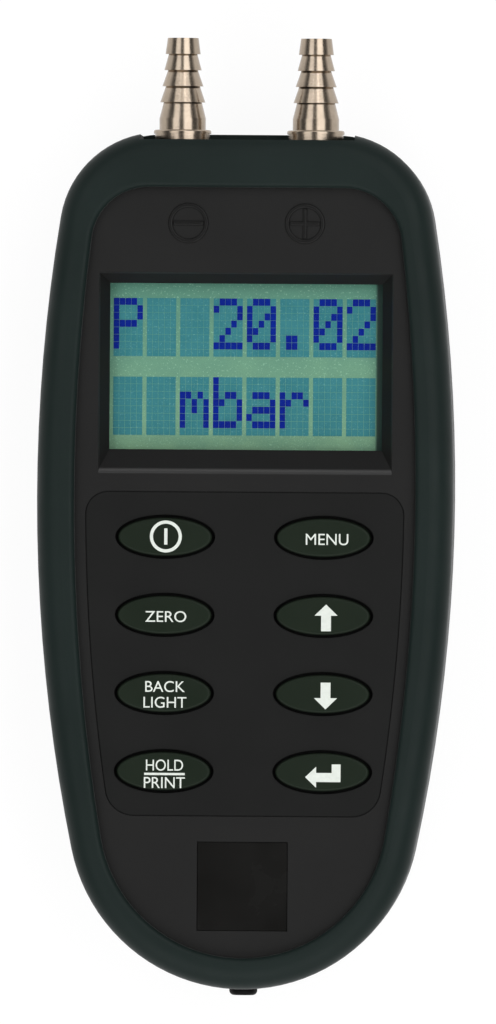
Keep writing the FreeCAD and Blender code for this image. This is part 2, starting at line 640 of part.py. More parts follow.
def make_boot():
    """Moulded rubber boot that wraps the case and laps over its front edge."""
    body = new_body("rubber_boot")
    layer(body, "0", "body_depth", inset_outline)
    front = value("body_depth")
    round_edges(body, "boot_front_round", lambda box: level_at(box, front))
    round_edges(body, "boot_back_round", lambda box: level_at(box, 0))
    lip_underside = f"({FACE} + case_gap)"
    cut(body, "boot_back", lip_underside, lambda sketch: inset_outline(sketch, "boot_wall"))
    cut(body, FACE, "body_depth", lip_outline)
    floor, roof = value("boot_back"), value(lip_underside)
    round_edges(body, "(case_back_round - case_gap)", lambda box: level_at(box, floor))
    lip_half, lip_high = value("body_width/2 - boot_front_round"), value("body_length/2 - boot_front_round")
    round_edges(
        body,
        "lip_round",
        lambda box: level_at(box, front) and inside(box, lip_half - 0.1, -lip_high - 0.1, lip_high - 0.1),
    )
    slot_top = f"({PLATFORM_TOP} + fit_gap)"
    cut(body, SLOT_FLOOR, slot_top, lambda sketch: slot(sketch, ROOM_TOP))
    cut(body, SLOT_FLOOR, "body_depth", lambda sketch: slot(sketch, "(body_length/2 - slot_edge)"))
    hole = new_sketch(body, "-body_length/2", "XZ_Plane")
    circle(hole, "0", AXIS, "bung_radius + fit_gap")
    pocket(hole, "2*(boot_wall + cut_margin)", both_ways=True)
    return body


def slot(sketch, start):
    """Draw the opening in the boot's top wall, from a line outwards."""
    rectangle(sketch, "-slot_width/2", "slot_width/2", start, "body_length/2 + cut_margin")


# The case

def platform(body, low, high):
    """Add the flat block that carries the spigots, filling the boot's slot."""
    half = "(slot_width/2 - fit_gap)"
    layer(body, low, high, lambda sketch: rectangle(sketch, f"-{half}", half, ROOM_TOP, PLATFORM))


def end_openings(body):
    """Cut the half holes on the case joint: two necks, infrared window and bung."""
    necks = new_sketch(body, PLATFORM, "XZ_Plane")
    for across in both_sides("spigot_spacing/2"):
        circle(necks, across, AXIS, "neck_radius + fit_gap")
    rectangle(
        necks,
        "-(infrared_width/2 + fit_gap)",
        "infrared_width/2 + fit_gap",
        f"{AXIS} - infrared_height/2 - fit_gap",
        f"{AXIS} + infrared_height/2 + fit_gap",
    )
    pocket(necks, f"2*({PLATFORM} - {ROOM_TOP} + cut_margin)", both_ways=True)
    bung = new_sketch(body, "-body_length/2", "XZ_Plane")
    circle(bung, "0", AXIS, "bung_radius + fit_gap")
    pocket(bung, f"2*({ROOM_INSET} + cut_margin)", both_ways=True)


def post_places():
    """Give the four case posts."""
    places = []
    for across in both_sides(UPPER_POST_X):
        places.append((across, UPPER_POST_Y))
    for across in both_sides(LOWER_POST_X):
        places.append((across, LOWER_POST_Y))
    return places


def circles(places, radius):
    """Give a function that draws a circle at each place."""
    def draw(sketch):
        for across, along in places:
            circle(sketch, across, along, radius)
    return draw


def bay_box(sketch, grow="0"):
    """Draw the battery bay, moved outwards all round."""
    rectangle(
        sketch,
        f"-({BAY_HALF} + {grow})",
        f"{BAY_HALF} + {grow}",
        f"{BAY_LOW} - ({grow})",
        f"{BAY_HIGH} + {grow}",
    )


def door_box(sketch, grow="0"):
    """Draw the battery door with its round corners."""
    rounded_rectangle(
        sketch,
        f"-({BAY_HALF} + door_ledge + {grow})",
        f"{BAY_HALF} + door_ledge + {grow}",
        f"{BAY_LOW} - door_ledge - ({grow})",
        f"{BAY_HIGH} + door_ledge + {grow}",
        f"(door_round + {grow})",
    )


def joint_ring(sketch, gap="0"):
    """Draw the ring that runs along the middle of the case wall."""
    inset_outline(sketch, f"({CASE_INSET} + case_wall/2 - tongue_width/2 - {gap})")
    inset_outline(sketch, f"({CASE_INSET} + case_wall/2 + tongue_width/2 + {gap})")


def door_hooks(sketch, gap="0"):
    """Draw the two hooks at the upper end of the battery door."""
    for side in both_sides("hook_spacing/2"):
        rectangle(
            sketch,
            f"{side} - hook_width/2 - {gap}",
            f"{side} + hook_width/2 + {gap}",
            f"{BAY_HIGH} - hook_width/4",
            f"{BAY_HIGH} + hook_reach + {gap}",
        )


def make_rear_shell():
    """Rear half of the case: tray, battery bay and screw posts."""
    body = new_body("rear_shell")
    layer(body, CASE_BACK, AXIS, lambda sketch: inset_outline(sketch, CASE_INSET))
    back = value(CASE_BACK)
    round_edges(body, "case_back_round", lambda box: level_at(box, back))
    cut(body, CASE_FLOOR, AXIS, lambda sketch: inset_outline(sketch, ROOM_INSET))
    floor = value(CASE_FLOOR)
    round_edges(body, "(case_back_round - case_wall)", lambda box: level_at(box, floor))
    platform(body, f"({SLOT_FLOOR} + fit_gap)", AXIS)
    layer(body, f"{CASE_FLOOR} - case_wall/2", AXIS, circles(post_places(), "post_radius"))
    tray_top = f"({BAY_ROOF} + tray_roof)"
    layer(body, f"{CASE_FLOOR} - case_wall/2", tray_top, lambda sketch: bay_box(sketch, "tray_wall"))
    cut(body, CASE_BACK, BAY_ROOF, bay_box)
    cut(body, CASE_BACK, f"{DOOR_TOP} + fit_gap", lambda sketch: door_box(sketch, "fit_gap"))
    cut(body, CASE_BACK, HEAD_SEAT, circles(post_places(), "head_pocket_radius"))
    cut(body, f"{HEAD_SEAT} - cut_margin", AXIS, circles(post_places(), "shank_hole_radius"))
    hook_top = f"{DOOR_TOP} + hook_thickness + fit_gap"
    cut(body, DOOR_TOP, hook_top, lambda sketch: door_hooks(sketch, "fit_gap"))
    layer(body, AXIS, f"{AXIS} + tongue_height", joint_ring)
    end_openings(body)
    return body


def board_post_places():
    """Give the four posts that carry the main board."""
    places = []
    for across in both_sides(UPPER_BOARD_POST_X):
        places.append((across, UPPER_BOARD_POST_Y))
    for across in both_sides("lower_board_post_x"):
        places.append((across, LOWER_BOARD_POST_Y))
    return places


def display_post_places():
    """Give the four posts that carry the display board."""
    places = []
    for across in both_sides(DISPLAY_POST_X):
        for side in "-+":
            places.append((across, f"{WINDOW_Y} {side} {DISPLAY_POST_RUN}"))
    return places


def key_places():
    """Give the eight key centres, row by row from the top, left before right."""
    places = []
    for row in range(4):
        for across in both_sides("key_spacing/2"):
            places.append((across, f"({TOP_ROW} - {row}*key_pitch)"))
    return places


def key_holes(sketch):
    """Draw the eight key openings."""
    for across, along in key_places():
        ellipse(sketch, across, along, "key_length/2 + key_ring", "key_width/2 + key_ring")


def window(sketch, grow="0"):
    """Draw the display window, moved outwards all round."""
    rectangle(
        sketch,
        f"-(window_width/2 + {grow})",
        f"window_width/2 + {grow}",
        f"{WINDOW_Y} - window_height/2 - ({grow})",
        f"{WINDOW_Y} + window_height/2 + {grow}",
    )


def bevel(body):
    """Sink the sloping surround of the display window and ease its lower edge."""
    mouth = new_sketch(body, FACE)
    rectangle(
        mouth,
        "-(window_width/2 + bevel_side)",
        "window_width/2 + bevel_side",
        f"{WINDOW_Y} - window_height/2 - bevel_below",
        f"{WINDOW_Y} + window_height/2 + bevel_above",
    )
    foot = new_sketch(body, f"{FACE} - bevel_depth")
    window(foot)
    feature = body.newObject("PartDesign::SubtractiveLoft", "front_shell_bevel")
    feature.Profile = mouth
    feature.Sections = [foot]
    feature.Ruled = True
    face, lower = value(FACE), value(f"{WINDOW_Y} - window_height/2 - bevel_below")
    round_edges(body, "mouth_round", lambda box: level_at(box, face) and abs(box.YMin + box.YMax - 2*lower) < 1e-4)


def port_marks(body):
    """Raise the ringed minus and plus beside the two spigots."""
    left, right = both_sides("mark_spacing/2")
    root, top = f"{FACE} - root_depth", f"{FACE} + mark_rise"
    layer(body, root, top, lambda sketch: draw_rings(sketch, (left, right)))
    for across in (left, right):
        layer(body, root, top, lambda sketch: draw_bar(sketch, across, "mark_bar", "mark_line"))
    layer(body, root, top, lambda sketch: draw_bar(sketch, right, "mark_line", "mark_bar"))
    crown = value(top)
    round_edges(body, "mark_round", lambda box: level_at(box, crown))


def draw_rings(sketch, places):
    """Draw the rings of the port marks."""
    for across in places:
        circle(sketch, across, MARK_Y, "mark_radius")
        circle(sketch, across, MARK_Y, "mark_radius - mark_line")


def draw_bar(sketch, across, length, width):
    """Draw a bar of a port mark."""
    rectangle(
        sketch,
        f"{across} - {length}/2",
        f"{across} + {length}/2",
        f"{MARK_Y} - {width}/2",
        f"{MARK_Y} + {width}/2",
    )


def badge_square(sketch, grow="0"):
    """Draw the square badge, moved outwards all round."""
    rectangle(
        sketch,
        f"-(badge_width/2 + {grow})",
        f"badge_width/2 + {grow}",
        f"{BADGE_Y} - badge_height/2 - ({grow})",
        f"{BADGE_Y} + badge_height/2 + {grow}",
    )


def make_front_shell():
    """Front half of the case: fascia with display window, key holes and posts."""
    body = new_body("front_shell")
    layer(body, AXIS, FACE, lambda sketch: inset_outline(sketch, CASE_INSET))
    face = value(FACE)
    round_edges(body, "case_front_round", lambda box: level_at(box, face))
    cut(body, AXIS, FACE_UNDERSIDE, lambda sketch: inset_outline(sketch, ROOM_INSET))
    platform(body, AXIS, PLATFORM_TOP)
    seat = f"{FACE_UNDERSIDE} + root_depth"
    layer(body, AXIS, seat, circles(post_places(), "post_radius"))
    layer(body, BOARD_TOP, seat, circles(board_post_places(), "board_post_radius"))
    layer(body, DISPLAY_BOARD_TOP, seat, circles(display_post_places(), "display_post_radius"))
    cut(body, AXIS, PILOT_END, circles(post_places(), "pilot_radius"))
    pilots = board_post_places()
    cut(body, BOARD_TOP, f"{BOARD_TOP} + small_screw_length", circles(pilots, "small_hole_radius"))
    pilots = display_post_places()
    cut(body, DISPLAY_BOARD_TOP, f"{DISPLAY_BOARD_TOP} + small_screw_length", circles(pilots, "small_hole_radius"))
    surround = "lens_margin + surround_wall"
    layer(body, WINDOW_UNDERSIDE, seat, lambda sketch: window(sketch, surround))
    bevel(body)
    cut(body, f"{WINDOW_UNDERSIDE} - cut_margin", f"{FACE} - bevel_depth + root_depth", window)
    cut(body, OVERLAY_LOW, FACE, lambda sketch: panel_outline(sketch, "overlay_gap"))
    cut(body, f"{FACE_UNDERSIDE} - cut_margin", FACE, key_holes)
    cut(body, f"{FACE} - badge_pocket", FACE, lambda sketch: badge_square(sketch, "fit_gap"))
    port_marks(body)
    groove_top = f"{AXIS} + tongue_height + tongue_gap"
    cut(body, AXIS, groove_top, lambda sketch: joint_ring(sketch, "tongue_gap"))
    end_openings(body)
    return body


def make_battery_door():
    """Flat door of the battery bay, with a finger recess and two hooks."""
    body = new_body("battery_door")
    layer(body, CASE_BACK, DOOR_TOP, door_box)
    layer(body, DOOR_TOP, f"{DOOR_TOP} + hook_thickness", door_hooks)
    cut(body, CASE_BACK, f"{CASE_BACK} + grip_depth", lambda sketch: rounded_rectangle(
        sketch,
        "-grip_length/2",
        "grip_length/2",
        f"{BAY_LOW} + grip_place",
        f"{BAY_LOW} + grip_place + grip_width",
        "0.4*grip_width",
    ))
    return body


# Batteries and contacts

def cell_places():
    """Give each cell's place across and whether its nub points to the top."""
    return [(f"-{CELL_PITCH}", True), ("0", False), (CELL_PITCH, True)]


def make_battery(number, across, nub_up):
    """One round cell with its nub."""
    low_up = f"({BAY_LOW} + contact_plate + leaf_reach + fit_gap)"
    high_down = f"({BAY_HIGH} - contact_plate - leaf_reach - fit_gap)"
    along = low_up if nub_up else high_down
    body = new_body(f"battery_{number}", across, along, CELL_HEIGHT, 0 if nub_up else 180)
    turned(body, [
        ("0", "0"),
        ("cell_radius - cell_round", "0"),
        ("cell_radius", "cell_round"),
        ("cell_radius", "cell_length - cell_round"),
        ("cell_radius - cell_round", "cell_length"),
        ("nub_radius", "cell_length"),
        ("nub_radius", "cell_length + nub_height"),
        ("0", "cell_length + nub_height"),
    ])
    return body


def make_contact(label, at_top, leaves, bosses):
    """Sheet metal contact at one end of the bay: a plate, sprung leaves and bosses."""
    wall = BAY_HIGH if at_top else BAY_LOW
    inward = "-" if at_top else "+"
    body = new_body(label, "0", wall, CELL_HEIGHT)
    places = leaves + bosses
    half = "contact_width/2"
    face = f"{inward}contact_plate"
    root = f"{inward}(contact_plate - root_depth)"
    sketch = new_sketch(body, f"-({half})")
    ends = sorted(places, key=value)
    left, right = f"{ends[0]} - {half}", f"{ends[-1]} + {half}"
    low, high = sorted(("0", face), key=value)
    rectangle(sketch, left, right, low, high)
    pad(sketch, "contact_width")
    for across in bosses:
        boss = new_sketch(body, root, "XZ_Plane")
        circle(boss, across, "0", "nub_radius - boss_inset")
        pad(boss, "contact_boss + root_depth", reverse=not at_top)
    for across in leaves:
        leaf = new_sketch(body, across, "YZ_Plane")
        tip = f"{inward}(contact_plate + leaf_reach)"
        polygon(leaf, [
            (root, half),
            (face, f"{half} - contact_plate"),
            (tip, "leaf_tip/2"),
            (tip, "-leaf_tip/2"),
            (f"{inward}(contact_plate + leaf_reach/2)", f"leaf_tip/2 - {half}"),
            (f"{inward}leaf_reach/2", f"leaf_tip/2 - {half}"),
            (f"{inward}leaf_reach", "-0.4*leaf_tip"),
            (f"{inward}leaf_reach", "0.4*leaf_tip"),
            (f"{inward}(contact_plate + root_depth)", f"{half} - 2*contact_plate"),
            (root, f"{half} - 2*contact_plate"),
        ])
        pad(leaf, "leaf_width", both_ways=True)
    return body


# Spigots, tubes and sensor

def make_spigot(label, across):
    """Turned metal hose spigot, trapped between the case halves."""
    body = new_body(label, across, PLATFORM, AXIS)
    shoulder = "(collar_height + root_height)"
    barbs = [
        ("first_waist", "root_radius"),
        ("second_waist", "second_crown"),
        ("third_waist", "third_crown"),
        ("fourth_waist", "fourth_crown"),
    ]
    neck_end = f"({ROOM_TOP} - fit_gap - ({PLATFORM}))"
    flange_end = f"({neck_end} - flange_height)"
    tail_end = f"({flange_end} - tail_length)"
    tip = f"({shoulder} + 5*barb_pitch)"
    profile = [
        ("tail_bore_radius", tail_end),
        ("tail_radius", tail_end),
        ("tail_radius", flange_end),
        ("flange_radius", flange_end),
        ("flange_radius", neck_end),
        ("neck_radius", neck_end),
        ("neck_radius", "0"),
        ("collar_foot_radius", "0"),
        ("collar_foot_radius", "collar_height - bead_height"),
        ("collar_radius", "collar_height - bead_height"),
        ("collar_radius", "collar_height"),
        ("root_radius", "collar_height"),
        ("root_radius", shoulder),
    ]
    for number, (waist, crown) in enumerate(barbs):
        if number:
            profile.append((crown, f"{shoulder} + {number}*barb_pitch"))
        profile.append((waist, f"{shoulder} + {number + 1}*barb_pitch"))
    profile += [
        ("nose_crown", f"{shoulder} + 4*barb_pitch"),
        ("mouth_radius", tip),
        ("bore_radius", tip),
        ("bore_radius", f"{tip} - bore_depth"),
        ("tail_bore_radius", f"{tip} - bore_depth"),
    ]
    turned(body, profile)
    bead_width, foot_width = 2*value("collar_radius"), 2*value("collar_foot_radius")
    shoulder_y = value("collar_height")
    round_edges(
        body, "bead_round", lambda box: abs(box.XLength - bead_width) < 1e-4 and box.YMin > shoulder_y - 1e-4
    )
    round_edges(body, "foot_round", lambda box: abs(box.XLength - foot_width) < 1e-4 and abs(box.YMin) < 1e-4)
    return body


def make_tube(label, side):
    """Silicone tube from a sensor port to a spigot tail, in a gentle double bend."""
    body = new_body(label, f"{side}port_spacing/2", TUBE_START, AXIS)
    turn = math.acos(1 - value(TUBE_SHIFT)/2/value("tube_bend"))
    turn_text = f"acos(1 - {TUBE_SHIFT}/2/tube_bend)"
    run = value(f"{TUBE_STOP} - {TUBE_START}")
    sign = 1 if side == "" else -1
    radius, shift = value("tube_bend"), value(TUBE_SHIFT)
    rise = radius*math.sin(turn)
    first = run/2 - rise
    path = new_sketch(body)
    start_line = line(path, (0, 0), (0, first))
    middle = (sign*shift/2, first + rise)
    end = (sign*shift, first + 2*rise)
    if sign > 0:
        lower = arc(path, radius, first, radius, math.pi - turn, math.pi)
        upper = arc(path, shift - radius, end[1], radius, -turn, 0)
        low_in, low_out, up_in, up_out = 2, 1, 1, 2
    else:
        lower = arc(path, -radius, first, radius, 0, turn)
        upper = arc(path, radius - shift, end[1], radius, math.pi, math.pi + turn)
        low_in, low_out, up_in, up_out = 1, 2, 2, 1
    end_line = line(path, end, (end[0], run))
    path.addConstraint(Sketcher.Constraint("Coincident", start_line, 1, -1, 1))
    path.addConstraint(Sketcher.Constraint("Vertical", start_line))
    path.addConstraint(Sketcher.Constraint("Tangent", start_line, 2, lower, low_in))
    path.addConstraint(Sketcher.Constraint("Tangent", lower, low_out, upper, up_in))
    path.addConstraint(Sketcher.Constraint("Tangent", upper, up_out, end_line, 1))
    path.addConstraint(Sketcher.Constraint("Vertical", end_line))
    path.addConstraint(Sketcher.Constraint("Equal", lower, upper))
    size(path, "Radius", lower, to="tube_bend")
    size(path, "DistanceX", -1, 1, end_line, 2, to=f"{'-' if sign < 0 else ''}{TUBE_SHIFT}")
    size(path, "DistanceY", -1, 1, end_line, 2, to=f"{TUBE_STOP} - {TUBE_START}")
    size(path, "DistanceY", -1, 1, start_line, 2, to=f"({TUBE_STOP} - {TUBE_START})/2 - tube_bend*sin({turn_text})")
    ring = new_sketch(body, "0", "XZ_Plane")
    circle(ring, "0", "0", f"{TUBE_BORE} + tube_wall")
    circle(ring, "0", "0", TUBE_BORE)
    feature = body.newObject("PartDesign::AdditivePipe", f"{label}_sweep")
    feature.Profile = ring
    feature.Spine = path
    return body


def make_sensor():
    """Differential pressure sensor under the main board, with its two ports."""
    body = new_body("pressure_sensor", "0", SENSOR_TOP)
    low = f"{MAIN_BOARD_LOW} - sensor_depth"
    layer(body, low, MAIN_BOARD_LOW, lambda sketch: rectangle(
        sketch, "-sensor_width/2", "sensor_width/2", "-sensor_length", "0"
    ))
    ports = new_sketch(body, "-root_depth", "XZ_Plane")
    for across in both_sides("port_spacing/2"):
        circle(ports, across, AXIS, "tail_radius")
    pad(ports, "port_length + root_depth", reverse=True)
    bores = new_sketch(body, "port_length", "XZ_Plane")
    for across in both_sides("port_spacing/2"):
        circle(bores, across, AXIS, "tail_bore_radius")
    pocket(bores, "port_length + cut_margin", reverse=True)
    return body


# Boards and what they carry

def make_main_board():
    """Main circuit board, notched round the lower case posts."""
    body = new_body("main_board")
    layer(body, MAIN_BOARD_LOW, BOARD_TOP, lambda sketch: inset_outline(sketch, "board_inset"))
    cut(body, MAIN_BOARD_LOW, BOARD_TOP, lambda sketch: rectangle(
        sketch, "-body_width/2", "body_width/2", "body_length/2 - board_end", "body_length/2"
    ))
    lower_posts = post_places()[2:]
    cut(body, MAIN_BOARD_LOW, BOARD_TOP, circles(lower_posts, "post_radius + notch_gap"))
    cut(body, MAIN_BOARD_LOW, BOARD_TOP, circles(board_post_places(), "small_hole_radius"))
    return body


def make_display_board():
    """Display board, screwed to four posts of the front shell."""
    body = new_body("display_board")
    layer(body, DISPLAY_BOARD_LOW, DISPLAY_BOARD_TOP, lambda sketch: rectangle(
        sketch,
        f"-{DISPLAY_BOARD_HALF}",
        DISPLAY_BOARD_HALF,
        f"{WINDOW_Y} - display_board_length/2",
        f"{WINDOW_Y} + display_board_length/2",
    ))
    holes = display_post_places()
    cut(body, DISPLAY_BOARD_LOW, DISPLAY_BOARD_TOP, circles(holes, "small_hole_radius"))
    return body


def make_header():
    """Pin header that joins the two boards."""
    body = new_body("board_header")
    high = f"{WINDOW_Y} + display_board_length/2 - header_inset"
    layer(body, BOARD_TOP, DISPLAY_BOARD_LOW, lambda sketch: rectangle(
        sketch, "-header_length/2", "header_length/2", f"{high} - header_width", high
    ))
    return body


def make_plate(label, low, high, grow):
    """A plate of the display stack, centred on the window."""
    body = new_body(label)
    layer(body, low, high, lambda sketch: window(sketch, grow))
    return body


def make_display_frame():
    """Sheet frame that clamps the display glass to its board."""
    body = new_body("display_frame")
    top = f"{GLASS_TOP} + frame_lip"
    outer = "glass_margin + fit_gap + frame_wall"
    layer(body, DISPLAY_BOARD_TOP, top, lambda sketch: window(sketch, outer))
    cut(body, DISPLAY_BOARD_TOP, GLASS_TOP, lambda sketch: window(sketch, "glass_margin + fit_gap"))
    cut(body, f"{GLASS_TOP} - cut_margin", top, lambda sketch: window(sketch, "frame_margin"))
    return body


def make_processor():
    """Processor chip on the underside of the main board."""
    body = new_body("processor", "0", SENSOR_TOP)
    low = f"{MAIN_BOARD_LOW} - chip_height"
    high = "-(sensor_length + chip_gap)"
    layer(body, low, MAIN_BOARD_LOW, lambda sketch: rectangle(
        sketch, "-chip_size/2", "chip_size/2", f"{high} - chip_size", high
    ))
    return body


def make_buzzer():
    """Round buzzer beside the sensor, under the main board."""
    body = new_body("buzzer", "-(body_width/2 - buzzer_side)", f"{SENSOR_TOP} - sensor_length/2")
    low = f"{MAIN_BOARD_LOW} - buzzer_height"
    layer(body, low, MAIN_BOARD_LOW, lambda sketch: circle(sketch, "0", "0", "buzzer_radius"))
    cut(body, low, f"{low} + sound_hole_depth", lambda sketch: circle(sketch, "0", "0", "sound_hole_radius"))
    return body


def make_screws(label, places, head_low, head_high, shank_end, head_radius, shank_radius):
    """A set of pan head screws, one at each place, heads to the back."""
    body = new_body(label)
    body.AllowCompound = True
    layer(body, head_low, head_high, circles(places, head_radius))
    layer(body, head_high, shank_end, circles(places, shank_radius))
    return body


# Keypad

KEY_LABELS = [
    "key_power",
    "key_menu",
    "key_zero",
    "key_up",
    "key_backlight",
    "key_down",
    "key_hold",
    "key_enter",
]


def make_key(label, across, along):
    """Oval hard key cap with a flange under the front wall, hollow from below."""
    body = new_body(label, across, along)
    half_length, half_width = "key_length/2", "key_width/2"
    layer(body, KEY_SKIRT, CAP_TOP, lambda sketch: ellipse(sketch, "0", "0", half_length, half_width))
    top = value(CAP_TOP)
    round_edges(body, "key_round", lambda box: level_at(box, top))
    layer(body, f"{KEY_FLANGE_TOP} - flange_thickness", KEY_FLANGE_TOP, lambda sketch: ellipse(
        sketch, "0", "0", f"{half_length} + key_flange", f"{half_width} + key_flange"
    ))
    cut(body, KEY_SKIRT, f"{CAP_TOP} - key_top_wall", lambda sketch: ellipse(
        sketch, "0", "0", f"{half_length} - key_side_wall", f"{half_width} - key_side_wall"
    ))
    return body


def make_key_mat():
    """One silicone mat with a dome and pedestal under each key."""
    body = new_body("key_mat")
    layer(body, BOARD_TOP, MAT_TOP, lambda sketch: rectangle(
        sketch,
        "-(key_spacing/2 + dome_radius + mat_margin)",
        "key_spacing/2 + dome_radius + mat_margin",
        f"{LAST_ROW} - dome_radius - mat_end",
        f"{TOP_ROW} + dome_radius + mat_end",
    ))
    for across, along in key_places():
        foot = new_sketch(body, MAT_TOP)
        circle(foot, across, along, "dome_radius")
        crown = new_sketch(body, f"{MAT_TOP} + dome_rise")
        circle(crown, across, along, "pedestal_radius")
        dome = body.newObject("PartDesign::AdditiveLoft", "key_mat_dome")
        dome.Profile = foot
        dome.Sections = [crown]
        dome.Ruled = True
    pedestal_top = f"{CAP_TOP} - key_top_wall - fit_gap"
    layer(body, f"{MAT_TOP} + dome_rise", pedestal_top, circles(key_places(), "pedestal_radius"))
    return body


def make_overlay():
    """Thin keypad overlay, set flush into the fascia."""
    body = new_body("keypad_overlay")
    layer(body, OVERLAY_LOW, FACE, panel_outline)
    cut(body, OVERLAY_LOW, FACE, key_holes)
    return body


def make_badge():
    """Plain square badge in its recess."""
    body = new_body("blank_badge")
    low = f"{FACE} - badge_pocket"
    layer(body, low, f"{low} + badge_thickness", badge_square)
    return body


# Fittings at the two ends

def make_socket():
    """Data socket behind the lower end wall, under the main board."""
    body = new_body("data_socket", "0", SOCKET_FACE)
    low = f"{MAIN_BOARD_LOW} - socket_depth"
    layer(body, low, MAIN_BOARD_LOW, lambda sketch: rectangle(
        sketch, "-socket_width/2", "socket_width/2", "0", "socket_length"
    ))
    bore = new_sketch(body, "0", "XZ_Plane")
    circle(bore, "0", AXIS, "bung_stem_radius + fit_gap")
    pocket(bore, "bung_stem_length + cut_margin")
    return body


def make_bung():
    """Rubber bung that closes the data socket."""
    body = new_body("socket_bung", "0", SOCKET_FACE, AXIS)
    boot_face = f"(-body_length/2 - {SOCKET_FACE})"
    turned(body, [
        ("0", "bung_stem_length"),
        ("bung_stem_radius", "bung_stem_length"),
        ("bung_stem_radius", "0"),
        ("bung_radius", "0"),
        ("bung_radius", f"{boot_face} - bung_rise"),
        ("0", f"{boot_face} - bung_rise"),
    ])
    crown = value(f"{boot_face} - bung_rise")
    round_edges(body, "bung_round", lambda box: box.YMax < crown + 1e-4)
    return body


def make_infrared_window():
    """Dark window between the spigots, trapped in the case joint by its flange."""
    body = new_body("infrared_window", "0", ROOM_TOP, AXIS)
    half, tall = "infrared_width/2", "infrared_height/2"
    plate = new_sketch(body, "0", "XZ_Plane")
    rectangle(plate, f"-{half}", half, f"-{tall}", tall)
    pad(plate, f"{PLATFORM} - {ROOM_TOP} - fit_gap", reverse=True)
    flange = new_sketch(body, "-fit_gap", "XZ_Plane")
    rectangle(
        flange,
        f"-({half} + infrared_flange)",
        f"{half} + infrared_flange",
        f"-({tall} + infrared_flange)",
        f"{tall} + infrared_flange",
    )
    pad(flange, "infrared_flange")
    bridge = new_sketch(body, "-fit_gap", "XZ_Plane")
    rectangle(bridge, f"-{half}", half, f"-{tall}", tall)
    pad(bridge, "fit_gap", reverse=True)
    return body


def make_emitter():
    """Infrared emitter behind its window, on two leads from the main board."""
    body = new_body("infrared_emitter", "0", f"{ROOM_TOP} - infrared_flange - 2*fit_gap", AXIS)
    turned(body, [
        ("0", "-emitter_length"),
        ("emitter_radius", "-emitter_length"),
        ("emitter_radius", "0"),
        ("0", "0"),
    ])
    round_edges(body, "(emitter_radius - lead_size)", lambda box: box.YMin > -1e-4)
    board_edge = f"(body_length/2 - board_end - ({ROOM_TOP} - infrared_flange - 2*fit_gap))"
    bend = f"{board_edge} - lead_inset"
    for side in both_sides("lead_spacing/2"):
        lead = new_sketch(body, side, "YZ_Plane")
        polygon(lead, [
            ("lead_root - emitter_length", "-lead_size/2"),
            (bend, "-lead_size/2"),
            (bend, "axis_drop"),
            (f"{bend} + lead_size", "axis_drop"),
            (f"{bend} + lead_size", "lead_size/2"),
            ("lead_root - emitter_length", "lead_size/2"),
        ])
        pad(lead, "lead_size", both_ways=True)
    return body


# The whole meter

def make_meter():
    """Make every piece, from the outside in."""
    pieces = [make_boot(), make_rear_shell(), make_front_shell(), make_battery_door()]
    for number, (across, nub_up) in enumerate(cell_places(), 1):
        pieces.append(make_battery(number, across, nub_up))
    first, second, third = (across for across, nub_up in cell_places())
    pieces += [
        make_contact("contact_positive", True, [], [first]),
        make_contact("contact_bridge_upper", True, [second], [third]),
        make_contact("contact_bridge_lower", False, [first], [second]),
        make_contact("contact_negative", False, [third], []),
    ]
    left, right = both_sides("spigot_spacing/2")
    pieces += [
        make_spigot("spigot_minus", left),
        make_spigot("spigot_plus", right),
        make_tube("tube_minus", "-"),
        make_tube("tube_plus", ""),
        make_sensor(),
        make_main_board(),
        make_processor(),
        make_buzzer(),
        make_display_board(),
        make_header(),
        make_plate("display_backlight", DISPLAY_BOARD_TOP, GLASS_UNDERSIDE, "glass_margin"),
        make_plate("display_glass", GLASS_UNDERSIDE, GLASS_TOP, "glass_margin"),
        make_display_frame(),
        make_plate("window_lens", LENS_UNDERSIDE, WINDOW_UNDERSIDE, "lens_margin"),
        make_key_mat(),
        make_overlay(),
        make_badge(),
        make_socket(),
        make_bung(),
        make_infrared_window(),
        make_emitter(),
    ]
    for label, (across, along) in zip(KEY_LABELS, key_places()):
        pieces.append(make_key(label, across, along))
    pieces += [
        make_screws(
            "case_screws", post_places(), f"{HEAD_SEAT} - case_head_height", HEAD_SEAT,
            f"{HEAD_SEAT} + case_screw_length", "case_head_radius", "case_shank_radius",
        ),
        make_screws(
            "board_screws", board_post_places(), f"{MAIN_BOARD_LOW} - small_head_height",
            MAIN_BOARD_LOW, f"{MAIN_BOARD_LOW} + small_screw_length",
            "small_head_radius", "small_shank_radius",
        ),
        make_screws(
            "display_screws", display_post_places(), f"{DISPLAY_BOARD_LOW} - small_head_height",
            DISPLAY_BOARD_LOW, f"{DISPLAY_BOARD_LOW} + small_screw_length",
            "small_head_radius", "small_shank_radius",
        ),
    ]
    return pieces


def check(pieces):
    """Stop if any object failed, a cut removed nothing or a piece is not sound."""
    doc.recompute()
    faults = []
    for item in doc.Objects:
        if "Invalid" in item.State or "Error" in item.State:
            faults.append(f"{item.Label} is {item.State}")
    for item in doc.Objects:
        if item.TypeId in ("PartDesign::Pocket", "PartDesign::SubtractiveLoft") and not faults:
            if item.Shape.Volume > item.BaseFeature.Shape.Volume - 1e-6:
                faults.append(f"{item.Label} cuts nothing")
    for piece in pieces:
        if piece.Shape.isNull() or not piece.Shape.isValid():
            faults.append(f"{piece.Label} has no sound shape")
    if faults:
        raise RuntimeError("; ".join(faults))


pieces = make_meter()
check(pieces)
os.makedirs("parts", exist_ok=True)
for piece in pieces:
    piece.Shape.exportStep(f"parts/{piece.Label}.step")
    print(piece.Label, len(piece.Shape.Solids), round(piece.Shape.Volume, 1))
